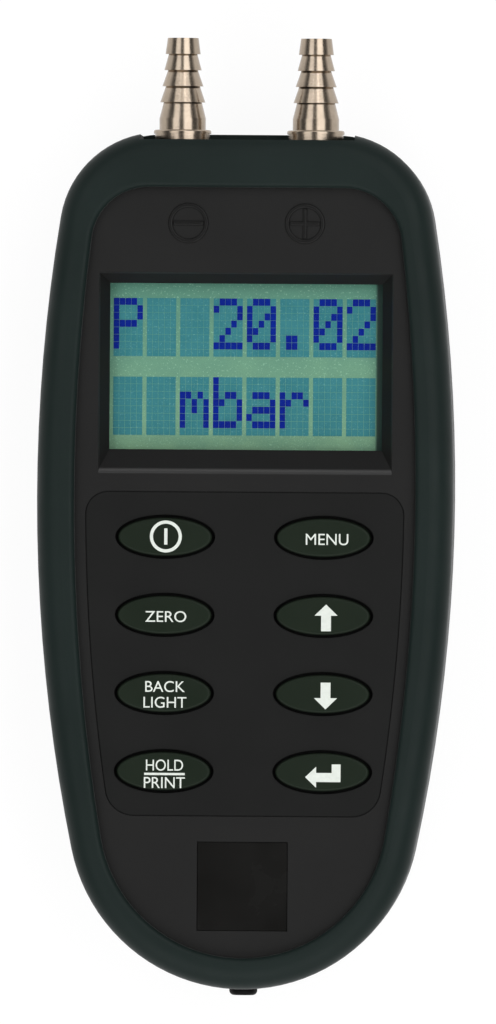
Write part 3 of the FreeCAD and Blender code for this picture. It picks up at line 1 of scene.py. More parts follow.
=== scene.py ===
"""Looks of the digital manometer: finishes, key mat, display dots, key legends, studio and camera.

Everything is in metres, in the part's own frame: X across, Y towards the spigots, Z out of the display.
"""
import math
import bmesh
import bpy
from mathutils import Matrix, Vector


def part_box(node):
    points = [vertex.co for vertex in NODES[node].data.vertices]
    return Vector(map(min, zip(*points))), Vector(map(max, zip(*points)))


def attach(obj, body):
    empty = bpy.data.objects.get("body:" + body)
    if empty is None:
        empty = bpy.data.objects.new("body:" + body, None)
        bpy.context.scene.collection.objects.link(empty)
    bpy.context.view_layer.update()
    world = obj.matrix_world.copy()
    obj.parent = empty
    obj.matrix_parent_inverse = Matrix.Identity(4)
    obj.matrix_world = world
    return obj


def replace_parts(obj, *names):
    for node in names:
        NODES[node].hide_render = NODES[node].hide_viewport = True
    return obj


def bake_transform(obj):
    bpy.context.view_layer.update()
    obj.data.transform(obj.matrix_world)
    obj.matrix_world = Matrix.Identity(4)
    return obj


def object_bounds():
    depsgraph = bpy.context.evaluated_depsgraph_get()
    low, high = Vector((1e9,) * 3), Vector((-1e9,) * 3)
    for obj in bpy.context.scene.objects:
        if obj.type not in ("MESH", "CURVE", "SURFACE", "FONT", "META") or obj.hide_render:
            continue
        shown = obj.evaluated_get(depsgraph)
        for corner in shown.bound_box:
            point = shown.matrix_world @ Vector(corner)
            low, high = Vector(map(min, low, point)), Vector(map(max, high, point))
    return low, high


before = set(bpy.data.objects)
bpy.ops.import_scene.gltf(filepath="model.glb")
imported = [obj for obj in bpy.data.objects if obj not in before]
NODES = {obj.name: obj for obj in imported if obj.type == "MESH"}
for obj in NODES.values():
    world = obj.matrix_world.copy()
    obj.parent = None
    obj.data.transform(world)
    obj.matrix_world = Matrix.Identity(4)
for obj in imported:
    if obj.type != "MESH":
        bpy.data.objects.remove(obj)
CAD_LOW, CAD_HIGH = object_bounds()
MM = 0.001

# Keys and the bodies that they move with
KEY_BODIES = {
    "key_power": "power_button",
    "key_menu": "menu_button",
    "key_zero": "zero_button",
    "key_up": "up_button",
    "key_backlight": "backlight_button",
    "key_down": "down_button",
    "key_hold": "hold_button",
    "key_enter": "enter_button",
}

# Finishes

# Sockets of a mix node that is set to colours
MIX_FIRST, MIX_SECOND, MIX_RESULT = 6, 7, 2
# Noise seldom goes past these
NOISE_LOW, NOISE_HIGH = 0.3, 0.7
# Noise between these limits gives few and small specks
SPECK_LOW, SPECK_HIGH = 0.62, 0.72
# Roughness of a surface strays this far to either side
UNEVEN = 0.05


class Finish:
    """A procedural material, built up from a principled shader."""

    def __init__(self, name, color, roughness, specular=0.5, metallic=0.0):
        self.material = bpy.data.materials.new(name)
        self.material.use_nodes = True
        self.tree = self.material.node_tree
        self.shader = self.tree.nodes["Principled BSDF"]
        self.shader.inputs["Base Color"].default_value = (*color, 1.0)
        self.shader.inputs["Roughness"].default_value = roughness
        self.shader.inputs["Specular IOR Level"].default_value = specular
        self.shader.inputs["Metallic"].default_value = metallic
        self.roughness = roughness
        self.specular = specular
        self.relief = None
        self.place = self.node("ShaderNodeTexCoord").outputs["Object"]
        axes = self.node("ShaderNodeSeparateXYZ", Vector=self.place)
        self.across, self.along, self.rise = axes.outputs

    def node(self, kind, **inputs):
        """Add a node and set or link its inputs by name."""
        node = self.tree.nodes.new(kind)
        for name, value in inputs.items():
            if isinstance(value, bpy.types.NodeSocket):
                self.tree.links.new(value, node.inputs[name])
            else:
                node.inputs[name].default_value = value
        return node

    def link(self, source, name):
        """Link an input of the shader."""
        self.tree.links.new(source, self.shader.inputs[name])

    def noise(self, cells, detail, stretch=(1, 1, 1)):
        """Noise between 0 and 1, with so many cells a metre."""
        place = self.place
        if stretch != (1, 1, 1):
            place = self.node("ShaderNodeMapping", Vector=place, Scale=stretch).outputs["Vector"]
        return self.node("ShaderNodeTexNoise", Vector=place, Scale=cells, Detail=detail).outputs["Fac"]

    def spread(self, factor, low, high, start=0.0, end=1.0):
        """Map a factor between two limits onto a new range."""
        node = self.node("ShaderNodeMapRange", Value=factor)
        for name, value in (("From Min", low), ("From Max", high), ("To Min", start), ("To Max", end)):
            node.inputs[name].default_value = value
        return node.outputs["Result"]

    def patches(self, cells, detail, start=0.0, end=1.0):
        """Noise drawn out into soft patches between two values."""
        return self.spread(self.noise(cells, detail), NOISE_LOW, NOISE_HIGH, start, end)

    def specks(self, strength):
        """Scattered specks, up to a strength."""
        return self.spread(self.noise(cells=2600, detail=1.0), SPECK_LOW, SPECK_HIGH, end=strength)

    def subtract(self, first, second):
        """One factor less another."""
        node = self.tree.nodes.new("ShaderNodeMath")
        node.operation = "SUBTRACT"
        self.tree.links.new(first, node.inputs[0])
        self.tree.links.new(second, node.inputs[1])
        return node.outputs["Value"]

    def blend(self, factor, first, second):
        """Mix two colours, or outputs that give colours."""
        node = self.tree.nodes.new("ShaderNodeMix")
        node.data_type = "RGBA"
        self.tree.links.new(factor, node.inputs["Factor"])
        for socket, value in ((node.inputs[MIX_FIRST], first), (node.inputs[MIX_SECOND], second)):
            if isinstance(value, bpy.types.NodeSocket):
                self.tree.links.new(value, socket)
            else:
                socket.default_value = (*value, 1.0)
        return node.outputs[MIX_RESULT]

    def bump(self, height, strength, distance):
        """Add a bump over those already there."""
        node = self.node("ShaderNodeBump", Height=height, Strength=strength, Distance=distance)
        if self.relief:
            self.tree.links.new(self.relief, node.inputs["Normal"])
        self.relief = node.outputs["Normal"]
        self.link(self.relief, "Normal")


def moulded(name, dark, light, roughness, grain, depth, specular):
    """Moulded plastic or rubber: slow colour drift, uneven sheen and a fine grain."""
    finish = Finish(name, dark, roughness, specular)
    finish.tint = finish.blend(finish.patches(cells=55, detail=3.0), dark, light)
    finish.link(finish.tint, "Base Color")
    sheen = finish.patches(cells=140, detail=4.0, start=roughness - UNEVEN, end=roughness + UNEVEN)
    finish.link(sheen, "Roughness")
    finish.bump(finish.noise(cells=grain, detail=3.0), strength=0.5, distance=depth)
    finish.bump(finish.noise(cells=160, detail=2.0), strength=0.2, distance=0.04*MM)
    return finish


def turned_metal(name, color, roughness):
    """Turned and plated metal: fine tool marks round the axis and a few stains."""
    finish = Finish(name, color, roughness, metallic=1.0)
    stain = finish.spread(finish.noise(cells=420, detail=4.0), low=0.35, high=0.7)
    finish.link(finish.blend(stain, color, [0.86*part for part in color]), "Base Color")
    marks = finish.noise(cells=900, detail=2.0, stretch=(1, 14, 1))
    wear = finish.spread(marks, NOISE_LOW, NOISE_HIGH, start=roughness - 0.05, end=roughness + 0.06)
    finish.link(wear, "Roughness")
    finish.bump(marks, strength=0.3, distance=0.02*MM)
    return finish


def plain_inner(name, color, roughness, metallic):
    """A piece inside the case: its own colour with a light grain."""
    finish = Finish(name, color, roughness, metallic=metallic)
    shade = finish.patches(cells=1500, detail=3.0)
    finish.link(finish.blend(shade, color, [0.8*part for part in color]), "Base Color")
    finish.bump(finish.noise(cells=1500, detail=2.0), strength=0.3, distance=0.02*MM)
    return finish


def clear_lens(name):
    """Clear window plastic with a faint hard-coat ripple."""
    finish = Finish(name, color=(0.01, 0.01, 0.01), roughness=0.06)
    finish.shader.inputs["Alpha"].default_value = 0.05
    finish.bump(finish.noise(cells=60, detail=1.0), strength=0.1, distance=0.02*MM)
    return finish


WINDOW_LOW, WINDOW_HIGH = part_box("display_glass")
# Painted shadow of the window's right wall on the display, from its faint edge to its full depth
SHADOW_START, SHADOW_END = 27.0*MM, 27.5*MM
REFLECTOR = {
    # The low colour, lifted as painted light where the lower bevel shades the display
    "near": (0.248, 0.450, 0.268),
    "far": (0.098, 0.285, 0.208),
    "cloud": (0.112, 0.275, 0.200),
    "grain": (0.095, 0.25, 0.18),
    "speck": (0.34, 0.62, 0.44),
    "painted_shadow": (0.020, 0.050, 0.040),
}


def display_back(name):
    """Green reflector of the display: paler low down, speckled, and with a painted shadow of the
    window's right wall along its right.
    """
    finish = Finish(name, color=(0.14, 0.33, 0.21), roughness=0.45, specular=0.2)
    # Paler low down: in part painted light, lifting the low colour where the lower bevel shades the
    # display
    upward = finish.spread(finish.along, WINDOW_LOW.y, WINDOW_HIGH.y)
    ground = finish.blend(upward, REFLECTOR["near"], REFLECTOR["far"])
    cloud = finish.patches(cells=180, detail=3.0, end=0.5)
    ground = finish.blend(cloud, ground, REFLECTOR["cloud"])
    grain = finish.spread(finish.noise(cells=4600, detail=1.0), low=0.35, high=0.65, end=0.35)
    ground = finish.blend(grain, ground, REFLECTOR["grain"])
    ground = finish.blend(finish.specks(0.5), ground, REFLECTOR["speck"])
    # Painted shadow of the window's right wall along the display's right edge
    painted_shadow = finish.spread(finish.across, SHADOW_START, SHADOW_END)
    finish.link(finish.blend(painted_shadow, ground, REFLECTOR["painted_shadow"]), "Base Color")
    finish.bump(finish.noise(cells=1700, detail=2.0), strength=0.2, distance=0.02*MM)
    return finish


DOT_SPECK = (0.30, 0.55, 0.55)


def display_dots(name, color, second, sparkle):
    """Ink of the display dots, a little uneven from dot to dot."""
    finish = Finish(name, color, roughness=0.4, specular=0.05)
    ground = finish.blend(finish.patches(cells=330, detail=2.0), color, second)
    finish.link(finish.blend(finish.specks(sparkle), ground, DOT_SPECK), "Base Color")
    finish.bump(finish.noise(cells=2500, detail=2.0), strength=0.2, distance=0.01*MM)
    return finish


INK_FRESH, INK_WORN = (0.68, 0.72, 0.67), (0.60, 0.64, 0.59)


def legend_ink(name):
    """Off-white printing ink on the keys."""
    finish = Finish(name, color=(0.66, 0.70, 0.65), roughness=0.55, specular=0.3)
    drift = finish.spread(finish.noise(cells=900, detail=3.0), low=0.3, high=0.75)
    finish.link(finish.blend(drift, INK_FRESH, INK_WORN), "Base Color")
    finish.bump(finish.noise(cells=4000, detail=2.0), strength=0.3, distance=0.01*MM)
    return finish


MARK_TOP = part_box("front_shell")[1].z
MARK_RISE = 0.4*MM
FACE_HEIGHT = MARK_TOP - MARK_RISE
MARK_SMOOTHER = 0.24
# The rounded edge of the display surround lies between these depths under the fascia
EDGE_DROP, EDGE_SEAM = 0.40*MM, 0.02*MM
EDGE_SMOOTHER = 0.22
EDGE_SPECULAR = 0.70


def polish_edges(fascia):
    """Make raised marks and the rounded edge of the display surround smoother than the fascia."""
    smooth = fascia.roughness - MARK_SMOOTHER
    marks = fascia.spread(fascia.rise, FACE_HEIGHT, MARK_TOP, fascia.roughness, smooth)
    below = fascia.spread(fascia.rise, FACE_HEIGHT - EDGE_DROP, FACE_HEIGHT - EDGE_SEAM)
    level = fascia.spread(fascia.rise, FACE_HEIGHT - EDGE_SEAM, FACE_HEIGHT)
    edge = fascia.subtract(below, level)
    smoother = fascia.spread(edge, low=0, high=1, end=EDGE_SMOOTHER)
    fascia.link(fascia.subtract(marks, smoother), "Roughness")
    gloss = fascia.spread(edge, low=0, high=1, start=fascia.specular, end=EDGE_SPECULAR)
    fascia.link(gloss, "Specular IOR Level")


CAP_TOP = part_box("key_menu")[1].z
# Depths under a cap's top below which its side is painted black, a painted shade of the gap round the
# key, and above which it is green
CROWN_FOOT, CROWN_HEAD = 0.45*MM, 0.12*MM
CAP_PAINTED_SHADE = (0.0010, 0.0012, 0.0010)


def paint_shade_on_cap_sides(cap):
    """Make the key caps black below their crowns: painted shade of the gap round each key."""
    crown = cap.spread(cap.rise, CAP_TOP - CROWN_FOOT, CAP_TOP - CROWN_HEAD)
    cap.link(cap.blend(crown, CAP_PAINTED_SHADE, cap.tint), "Base Color")


BOOT_SHEEN = 0.08
BOOT_SHEEN_ROUGHNESS = 0.35

# Two colours, roughness, cells of grain a metre, depth of the grain and specular level
MOULDED = {
    "boot_rubber": ((0.0042, 0.0100, 0.0087), (0.0059, 0.0125, 0.0111), 0.52, 2600, 0.04*MM, 0.15),
    "fascia_plastic": ((0.0076, 0.0076, 0.0075), (0.0091, 0.0091, 0.0089), 0.50, 3600, 0.03*MM, 0.15),
    "case_plastic": ((0.0110, 0.0110, 0.0112), (0.0136, 0.0136, 0.0138), 0.50, 3600, 0.03*MM, 0.15),
    "overlay_film": ((0.0074, 0.0076, 0.0074), (0.0088, 0.0090, 0.0088), 0.46, 5200, 0.01*MM, 0.10),
    "key_plastic": ((0.0058, 0.0112, 0.0056), (0.0074, 0.0132, 0.0070), 0.42, 4200, 0.01*MM, 0.12),
    "badge_gloss": ((0.0048, 0.0046, 0.0041), (0.0060, 0.0058, 0.0053), 0.25, 3000, 0.01*MM, 0.15),
    "bung_rubber": ((0.0014, 0.0015, 0.0015), (0.0022, 0.0023, 0.0023), 0.50, 2600, 0.03*MM, 0.08),
    "infrared_gloss": ((0.0060, 0.0016, 0.0020), (0.0080, 0.0022, 0.0028), 0.12, 500, 0.01*MM, 0.50),
    "mat_silicone": ((0.0040, 0.0040, 0.0040), (0.0056, 0.0056, 0.0056), 0.60, 2600, 0.02*MM, 0.15),
}
# Colour and roughness
TURNED = {
    "spigot_metal": ((0.42, 0.345, 0.270), 0.20),
    "screw_steel": ((0.50, 0.50, 0.51), 0.30),
    "contact_metal": ((0.62, 0.60, 0.56), 0.30),
}
# Colour, roughness and share of metal
INNER = {
    "backlight_plastic": ((0.70, 0.78, 0.62), 0.50, 0.0),
    "frame_metal": ((0.02, 0.02, 0.02), 0.35, 0.4),
    "sensor_plastic": ((0.70, 0.68, 0.63), 0.50, 0.0),
    "board_laminate": ((0.02, 0.13, 0.05), 0.35, 0.0),
    "chip_plastic": ((0.02, 0.02, 0.02), 0.50, 0.0),
    "tube_silicone": ((0.72, 0.72, 0.70), 0.45, 0.0),
    "battery_jacket": ((0.03, 0.03, 0.035), 0.30, 0.3),
}
# The nodes that have each finish
NODE_FINISHES = {
    "boot_rubber": ["rubber_boot"],
    "fascia_plastic": ["front_shell"],
    "case_plastic": ["rear_shell", "battery_door"],
    "overlay_film": ["keypad_overlay"],
    "key_plastic": list(KEY_BODIES),
    "badge_gloss": ["blank_badge"],
    "bung_rubber": ["socket_bung"],
    "infrared_gloss": ["infrared_window", "infrared_emitter"],
    "mat_silicone": ["key_mat"],
    "spigot_metal": ["spigot_minus", "spigot_plus"],
    "screw_steel": ["case_screws", "board_screws", "display_screws"],
    "contact_metal": [name for name in NODES if name.startswith("contact_")],
    "lens_clear": ["window_lens"],
    "display_glass": ["display_glass"],
    "backlight_plastic": ["display_backlight"],
    "frame_metal": ["display_frame"],
    "sensor_plastic": ["pressure_sensor"],
    "board_laminate": ["display_board", "main_board"],
    "chip_plastic": ["board_header", "processor", "buzzer", "data_socket"],
    "tube_silicone": ["tube_minus", "tube_plus"],
    "battery_jacket": ["battery_1", "battery_2", "battery_3"],
}


def dress_nodes():
    """Make the finishes and give every node its own."""
    finishes = {name: moulded(name, *facts) for name, facts in MOULDED.items()}
    finishes.update({name: turned_metal(name, *facts) for name, facts in TURNED.items()})
    finishes.update({name: plain_inner(name, *facts) for name, facts in INNER.items()})
    finishes["lens_clear"] = clear_lens("lens_clear")
    finishes["display_glass"] = display_back("display_glass")
    rubber = finishes["boot_rubber"].shader.inputs
    rubber["Sheen Weight"].default_value = BOOT_SHEEN
    rubber["Sheen Roughness"].default_value = BOOT_SHEEN_ROUGHNESS
    polish_edges(finishes["fascia_plastic"])
    paint_shade_on_cap_sides(finishes["key_plastic"])
    worn = {node: name for name, nodes in NODE_FINISHES.items() for node in nodes}
    for name, node in NODES.items():
        node.data.materials.clear()
        node.data.materials.append(finishes[worn[name]].material)
    return finishes


# Pieces

def loose_piece(name, mesh, finish):
    """Make a piece of the part from a mesh."""
    piece = bpy.data.objects.new(name, mesh)
    bpy.context.scene.collection.objects.link(piece)
    mesh.materials.append(finish.material)
    return piece


def new_piece(name, mesh, finish, body):
    """Make a piece that moves with a body."""
    piece = loose_piece(name, mesh, finish)
    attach(piece, body)
    return piece


def finish_mesh(name, maker):
    """Turn what has been built into a mesh."""
    mesh = bpy.data.meshes.new(name)
    maker.to_mesh(mesh)
    maker.free()
    return mesh


def slab(name, outlines, low, high):
    """One mesh of flat closed shapes, each given by its corners, raised between two heights."""
    maker = bmesh.new()
    for corners in outlines:
        lower = [maker.verts.new((x, y, low)) for x, y in corners]
        upper = [maker.verts.new((x, y, high)) for x, y in corners]
        maker.faces.new(upper)
        maker.faces.new(lower[::-1])
        count = len(corners)
        for i in range(count):
            j = (i + 1) % count
            maker.faces.new((lower[i], lower[j], upper[j], upper[i]))
    return finish_mesh(name, maker)


def rectangle(left, right, near, far):
    """Corners of a rectangle."""
    return [(left, near), (right, near), (right, far), (left, far)]


# Key mat

MAT_SHEET = 1.2*MM
# The domes start this far above the sheet
DOME_SEAM = 0.02*MM
# Corners nearer to each other than this are one
WELD = 0.001*MM


def face_top(face):
    """Height of a face's highest corner."""
    return max(vertex.co.z for vertex in face.verts)


def mat_part(name, belongs):
    """A closed part of the key mat, made of the faces that pass a test."""
    maker = bmesh.new()
    maker.from_mesh(NODES["key_mat"].data)
    bmesh.ops.remove_doubles(maker, verts=maker.verts, dist=WELD)
    others = [face for face in maker.faces if not belongs(face)]
    bmesh.ops.delete(maker, geom=others, context="FACES")
    bmesh.ops.holes_fill(maker, edges=[edge for edge in maker.edges if edge.is_boundary])
    return finish_mesh(name, maker)


def make_key_mat(silicone):
    """The key mat's sheet, and its domes under the keys."""
    sheet_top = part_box("key_mat")[0].z + MAT_SHEET

    def in_sheet(face):
        return face_top(face) < sheet_top + WELD

    mesh = mat_part("key_mat_sheet", in_sheet)
    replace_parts(new_piece("key_mat_sheet", mesh, silicone, "meter"), "key_mat")
    for key, button in KEY_BODIES.items():
        low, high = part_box(key)

        def in_dome(face):
            spot = face.calc_center_median()
            return not in_sheet(face) and low.x < spot.x < high.x and low.y < spot.y < high.y

        name = key.replace("key_", "key_mat_dome_")
        mesh = mat_part(name, in_dome)
        for vertex in mesh.vertices:
            vertex.co.z = max(vertex.co.z, sheet_top + DOME_SEAM)
        dome = loose_piece(name, mesh, silicone)
        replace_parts(dome, "key_mat")
        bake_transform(dome)


# Display

CELL_PITCH = 6.98*MM
DOT_PITCH_X = 1.233*MM
DOT_PITCH_Y = 1.533*MM
DOT_GAP = 0.06*MM
FIRST_CELL = -27.87*MM
ROW_TOPS = (55.0*MM, 38.5*MM)
DOT_LOW = 0.01*MM
DOT_HIGH = 0.04*MM
# Two colours and the strength of the sparkle
DOTS_LIT = ((0.0008, 0.018, 0.27), (0.003, 0.013, 0.23), 0.04)
DOTS_UNLIT = ((0.050, 0.235, 0.262), (0.038, 0.203, 0.232), 0.25)

CHARACTERS = {
    "P": ["XXXX.", "X...X", "X...X", "XXXX.", "X....", "X....", "X....", "....."],
    "2": [".XXX.", "X...X", "....X", "...X.", "..X..", ".X...", "XXXXX", "....."],
    "0": [".XXX.", "X...X", "X..XX", "X.X.X", "XX..X", "X...X", ".XXX.", "....."],
    ".": [".....", ".....", ".....", ".....", ".....", ".XX..", ".XX..", "....."],
    "m": [".....", ".....", "XX.X.", "X.X.X", "X.X.X", "X...X", "X...X", "....."],
    "b": ["X....", "X....", "X.XX.", "XX..X", "X...X", "X...X", "XXXX.", "....."],
    "a": [".....", ".....", ".XXX.", "....X", ".XXXX", "X...X", ".XXXX", "....."],
    "r": [".....", ".....", "X.XX.", "XX..X", "X....", "X....", "X....", "....."],
    " ": ["....."]*8,
}
READING = ("P  20.02", "  mbar  ")


def dot_corners(row, cell, down, across):
    """Corners of one dot of a character cell."""
    left = FIRST_CELL + cell*CELL_PITCH + across*DOT_PITCH_X
    far = ROW_TOPS[row] - down*DOT_PITCH_Y
    return rectangle(left, left + DOT_PITCH_X - DOT_GAP, far - DOT_PITCH_Y + DOT_GAP, far)


def make_display():
    """Lay the lit and unlit dots of the display on its glass."""
    dots = {"X": [], ".": []}
    for row, text in enumerate(READING):
        for cell, letter in enumerate(text):
            for down, line in enumerate(CHARACTERS[letter]):
                for across, mark in enumerate(line):
                    dots[mark].append(dot_corners(row, cell, down, across))
    low, high = WINDOW_HIGH.z + DOT_LOW, WINDOW_HIGH.z + DOT_HIGH
    for mark, kind, facts in (("X", "lit", DOTS_LIT), (".", "unlit", DOTS_UNLIT)):
        name = f"display_dots_{kind}"
        ink = display_dots(f"dots_{kind}", *facts)
        new_piece(name, slab(name, dots[mark], low, high), ink, "meter")


# Key legends

INK = 0.03*MM
LETTER_HALF = 0.5
RING_RADIUS = 3.35*MM
RING_STEPS = 96
STROKE = 0.67*MM
POWER_BAR = 3.4*MM
HOLD_BAR = 8.5*MM
HOLD_BAR_LINE = 0.47*MM
ARROW_HALF = 2.42*MM
ARROW_HEAD = 2.35*MM
ARROW_STEM = 1.03*MM
ARROW_LENGTH = 5.6*MM
# Corners of the enter arrow in millimetres: it points left, with its tail turned up
ENTER_ARROW = [
    (-3.8, -0.55), (-1.5, 1.65), (-1.5, 0.35), (1.75, 0.35), (1.75, 2.15),
    (3.6, 2.15), (3.6, -1.55), (-1.5, -1.55), (-1.5, -2.75),
]
# Key, and the legend's middle across and up from the cap's middle in millimetres
LEGENDS = {
    "legend_power_ring": ("key_power", 0.15, 0.05),
    "legend_power_bar": ("key_power", 0.15, 0.05),
    "legend_zero": ("key_zero", 0.25, -0.35),
    "legend_back": ("key_backlight", 0.2, 1.35),
    "legend_light": ("key_backlight", 0.2, -1.95),
    "legend_hold": ("key_hold", 0.2, 1.25),
    "legend_hold_bar": ("key_hold", 0.2, -0.6),
    "legend_print": ("key_hold", 0.2, -2.4),
    "legend_menu": ("key_menu", 0.7, -0.35),
    "legend_up": ("key_up", 0.6, -0.4),
    "legend_down": ("key_down", 0.6, -0.4),
    "legend_enter": ("key_enter", 0.25, -0.5),
}
# Text of a legend, with its width and height in millimetres
WORDS = {
    "legend_zero": ("ZERO", 8.6, 2.3),
    "legend_back": ("BACK", 8.3, 2.3),
    "legend_light": ("LIGHT", 9.0, 2.3),
    "legend_hold": ("HOLD", 7.76, 2.34),
    "legend_print": ("PRINT", 8.6, 2.29),
    "legend_menu": ("MENU", 8.9, 2.35),
}


def word(name, centre, text, width, height):
    """A word of raised print, fitted to a width and a height in millimetres."""
    curve = bpy.data.curves.new(name, "FONT")
    curve.body = text
    curve.extrude = LETTER_HALF
    carrier = bpy.data.objects.new(name, curve)
    bpy.context.scene.collection.objects.link(carrier)
    shape = carrier.evaluated_get(bpy.context.evaluated_depsgraph_get())
    mesh = bpy.data.meshes.new_from_object(shape)
    bpy.data.objects.remove(carrier)
    bpy.data.curves.remove(curve)
    xs = [vertex.co.x for vertex in mesh.vertices]
    ys = [vertex.co.y for vertex in mesh.vertices]
    middle_x, middle_y = (min(xs) + max(xs))/2, (min(ys) + max(ys))/2
    scale_x, scale_y = width*MM/(max(xs) - min(xs)), height*MM/(max(ys) - min(ys))
    for vertex in mesh.vertices:
        x, y, z = vertex.co
        vertex.co = (
            centre.x + (x - middle_x)*scale_x,
            centre.y + (y - middle_y)*scale_y,
            centre.z + (z + LETTER_HALF)*INK,
        )
    return mesh


def ring(name, centre, radius, line):
    """A flat raised ring."""
    maker = bmesh.new()
    loops = []
    for reach, height in ((radius, 0), (radius, INK), (radius - line, INK), (radius - line, 0)):
        loop = []
        for i in range(RING_STEPS):
            angle = 2*math.pi*i/RING_STEPS
            x, y = centre.x + reach*math.cos(angle), centre.y + reach*math.sin(angle)
            loop.append(maker.verts.new((x, y, centre.z + height)))
        loops.append(loop)
    for first, second in zip(loops, loops[1:] + loops[:1]):
        for i in range(RING_STEPS):
            j = (i + 1) % RING_STEPS
            maker.faces.new((first[i], first[j], second[j], second[i]))
    return finish_mesh(name, maker)


def bar(centre, width, height):
    """Corners of a plain bar."""
    return rectangle(centre.x - width/2, centre.x + width/2, centre.y - height/2, centre.y + height/2)


def arrow(centre, sense):
    """Corners of a straight arrow, which points up with a sense of 1 and down with -1."""
    top, neck = ARROW_LENGTH/2, ARROW_LENGTH/2 - ARROW_HEAD
    points = [
        (0, top), (-ARROW_HALF, neck), (-ARROW_STEM, neck), (-ARROW_STEM, -top),
        (ARROW_STEM, -top), (ARROW_STEM, neck), (ARROW_HALF, neck),
    ]
    return [(centre.x + sense*x, centre.y + sense*y) for x, y in points]


def sign(name, centre):
    """Corners of a legend that is neither a word nor the ring."""
    if name == "legend_power_bar":
        return bar(centre, STROKE, POWER_BAR)
    if name == "legend_hold_bar":
        return bar(centre, HOLD_BAR, HOLD_BAR_LINE)
    if name == "legend_up":
        return arrow(centre, 1)
    if name == "legend_down":
        return arrow(centre, -1)
    return [(centre.x + x*MM, centre.y + y*MM) for x, y in ENTER_ARROW]


def make_legends():
    """Print the legends on the key caps."""
    ink = legend_ink("legend_ink")
    for name, (key, across, up) in LEGENDS.items():
        low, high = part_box(key)
        middle = (low + high)/2
        centre = Vector((middle.x + across*MM, middle.y + up*MM, high.z))
        if name in WORDS:
            mesh = word(name, centre, *WORDS[name])
        elif name == "legend_power_ring":
            mesh = ring(name, centre, RING_RADIUS, STROKE)
        else:
            mesh = slab(name, [sign(name, centre)], high.z, high.z + INK)
        new_piece(name, mesh, ink, KEY_BODIES[key])


# Studio

FLOOR_REACH = 12.0
FLOOR_DROP = 0.2*MM
FLOOR_COLOR = (0.9, 0.9, 0.9, 1)
FLOOR_GLOW = 1.03
# Share of that glow where the floor is seen; the rest is paint, which keeps the shadow
GLOW_SHARE = 0.88


def floor_finish():
    """Paint that keeps a soft shadow, and a glow where the floor is seen or mirrored."""
    material = bpy.data.materials.new("floor_white")
    material.use_nodes = True
    tree = material.node_tree
    tree.nodes.clear()
    output = tree.nodes.new("ShaderNodeOutputMaterial")
    paint = tree.nodes.new("ShaderNodeBsdfDiffuse")
    paint.inputs["Color"].default_value = FLOOR_COLOR
    glow = tree.nodes.new("ShaderNodeEmission")
    glow.inputs["Strength"].default_value = FLOOR_GLOW
    rays = tree.nodes.new("ShaderNodeLightPath")
    seen = rays.outputs["Is Camera Ray"]
    for kind in ("Is Glossy Ray", "Is Transmission Ray"):
        either = tree.nodes.new("ShaderNodeMath")
        either.operation = "MAXIMUM"
        tree.links.new(seen, either.inputs[0])
        tree.links.new(rays.outputs[kind], either.inputs[1])
        seen = either.outputs["Value"]
    share = tree.nodes.new("ShaderNodeMath")
    share.operation = "MULTIPLY"
    share.inputs[1].default_value = GLOW_SHARE
    tree.links.new(seen, share.inputs[0])
    mix = tree.nodes.new("ShaderNodeMixShader")
    tree.links.new(share.outputs["Value"], mix.inputs["Fac"])
    tree.links.new(paint.outputs["BSDF"], mix.inputs[1])
    tree.links.new(glow.outputs["Emission"], mix.inputs[2])
    tree.links.new(mix.outputs["Shader"], output.inputs["Surface"])
    return material


def make_floor():
    """Plain pale floor, as wide as the views need."""
    mesh = bpy.data.meshes.new("floor")
    corners = rectangle(-FLOOR_REACH, FLOOR_REACH, -FLOOR_REACH, FLOOR_REACH)
    mesh.from_pydata([(x, y, 0) for x, y in corners], [], [(0, 1, 2, 3)])
    mesh.materials.append(floor_finish())
    floor = bpy.data.objects.new("floor", mesh)
    floor.location.z = -FLOOR_DROP
    bpy.context.scene.collection.objects.link(floor)


# Brightness of the air near the horizon and overhead, and the heights between which it changes
AIR_LOW, AIR_OVERHEAD = 0.8, 0.12
AIR_LOW_HEIGHT, AIR_OVERHEAD_HEIGHT = 0.05, 0.30
WHITE = (1, 1, 1, 1)


def make_world():
    """Dim studio air, darkest straight overhead, and a white background in view."""
    world = bpy.data.worlds.new("studio")
    bpy.context.scene.world = world
    world.use_nodes = True
    tree = world.node_tree
    air = tree.nodes["Background"]
    place = tree.nodes.new("ShaderNodeTexCoord")
    parts = tree.nodes.new("ShaderNodeSeparateXYZ")
    tree.links.new(place.outputs["Generated"], parts.inputs["Vector"])
    level = tree.nodes.new("ShaderNodeMapRange")
    level.inputs["From Min"].default_value = AIR_LOW_HEIGHT
    level.inputs["From Max"].default_value = AIR_OVERHEAD_HEIGHT
    level.inputs["To Min"].default_value = AIR_LOW
    level.inputs["To Max"].default_value = AIR_OVERHEAD
    tree.links.new(parts.outputs["Z"], level.inputs["Value"])
    tree.links.new(level.outputs["Result"], air.inputs["Strength"])
    air.inputs["Color"].default_value = WHITE
    white = tree.nodes.new("ShaderNodeBackground")
    white.inputs["Color"].default_value = WHITE
    rays = tree.nodes.new("ShaderNodeLightPath")
    mix = tree.nodes.new("ShaderNodeMixShader")
    tree.links.new(rays.outputs["Is Camera Ray"], mix.inputs["Fac"])
    tree.links.new(air.outputs["Background"], mix.inputs[1])
    tree.links.new(white.outputs["Background"], mix.inputs[2])
    tree.links.new(mix.outputs["Shader"], tree.nodes["World Output"].inputs["Surface"])


LIGHT_REACH = 1.4
# The softboxes point this far beyond the part's middle
LIGHT_SHIFT = 0.4
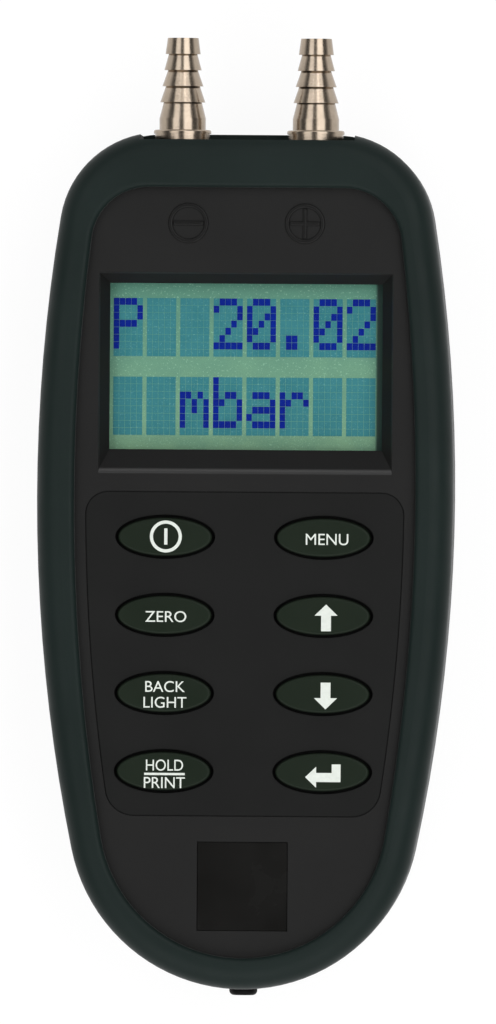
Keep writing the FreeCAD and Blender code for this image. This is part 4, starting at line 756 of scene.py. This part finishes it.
# Each softbox: its side of the part in degrees from the right, the degrees from straight overhead
# at which it starts and ends, its length in metres and its brightness
LIGHTS = {
    "softbox_right": (0, 7, 47, 1.8, 2.35),
    "softbox_left": (180, 16, 48, 1.8, 1.7),
    "softbox_far": (90, 28, 50, 0.9, 2.0),
    "softbox_near": (270, 45, 75, 1.8, 2.3),
}


def make_lights():
    """Long softboxes over both sides of the part, the right one stronger, and one off each end."""
    target = (CAD_LOW + CAD_HIGH)/2 + Vector((0, LIGHT_SHIFT, 0))
    for name, (side, near, far, length, brightness) in LIGHTS.items():
        width = 2*LIGHT_REACH*math.tan(math.radians(far - near)/2)
        lamp = bpy.data.lights.new(name, "AREA")
        lamp.shape = "RECTANGLE"
        lamp.size = width
        lamp.size_y = length
        lamp.energy = brightness*math.pi*width*length
        holder = bpy.data.objects.new(name, lamp)
        tilt, turn = math.radians((near + far)/2), math.radians(side)
        away = Vector((math.sin(tilt)*math.cos(turn), math.sin(tilt)*math.sin(turn), math.cos(tilt)))
        holder.location = target + LIGHT_REACH*away
        holder.rotation_euler = (0, tilt, turn)
        holder.visible_camera = False
        bpy.context.scene.collection.objects.link(holder)


CAMERA_REACH = 4.5
PLANE_HEIGHT = 22.0*MM
PICTURE_HEIGHT = 215.2*MM
PICTURE_CENTRE = (0.27*MM, 10.29*MM)
LEAN = math.radians(0.397)
ORBIT = math.radians(1.3)
SENSOR = 36.0
CLIP_END = 20.0


def make_camera():
    """Camera high above the display, a little to its right and slightly turned, as in the photograph."""
    data = bpy.data.cameras.new("camera")
    data.sensor_fit = "VERTICAL"
    data.sensor_height = SENSOR
    data.lens = SENSOR*CAMERA_REACH/PICTURE_HEIGHT
    data.clip_end = CLIP_END
    camera = bpy.data.objects.new("camera", data)
    away = Vector((math.sin(ORBIT)*math.cos(LEAN), math.sin(ORBIT)*math.sin(LEAN), math.cos(ORBIT)))
    camera.location = Vector((*PICTURE_CENTRE, PLANE_HEIGHT)) + CAMERA_REACH*away
    camera.rotation_euler = (0, ORBIT, LEAN)
    bpy.context.scene.collection.objects.link(camera)
    bpy.context.scene.camera = camera


bpy.context.scene.view_settings.view_transform = "Standard"
make_camera()
finishes = dress_nodes()
make_key_mat(finishes["mat_silicone"])
make_display()
make_legends()
make_floor()
make_world()
make_lights()
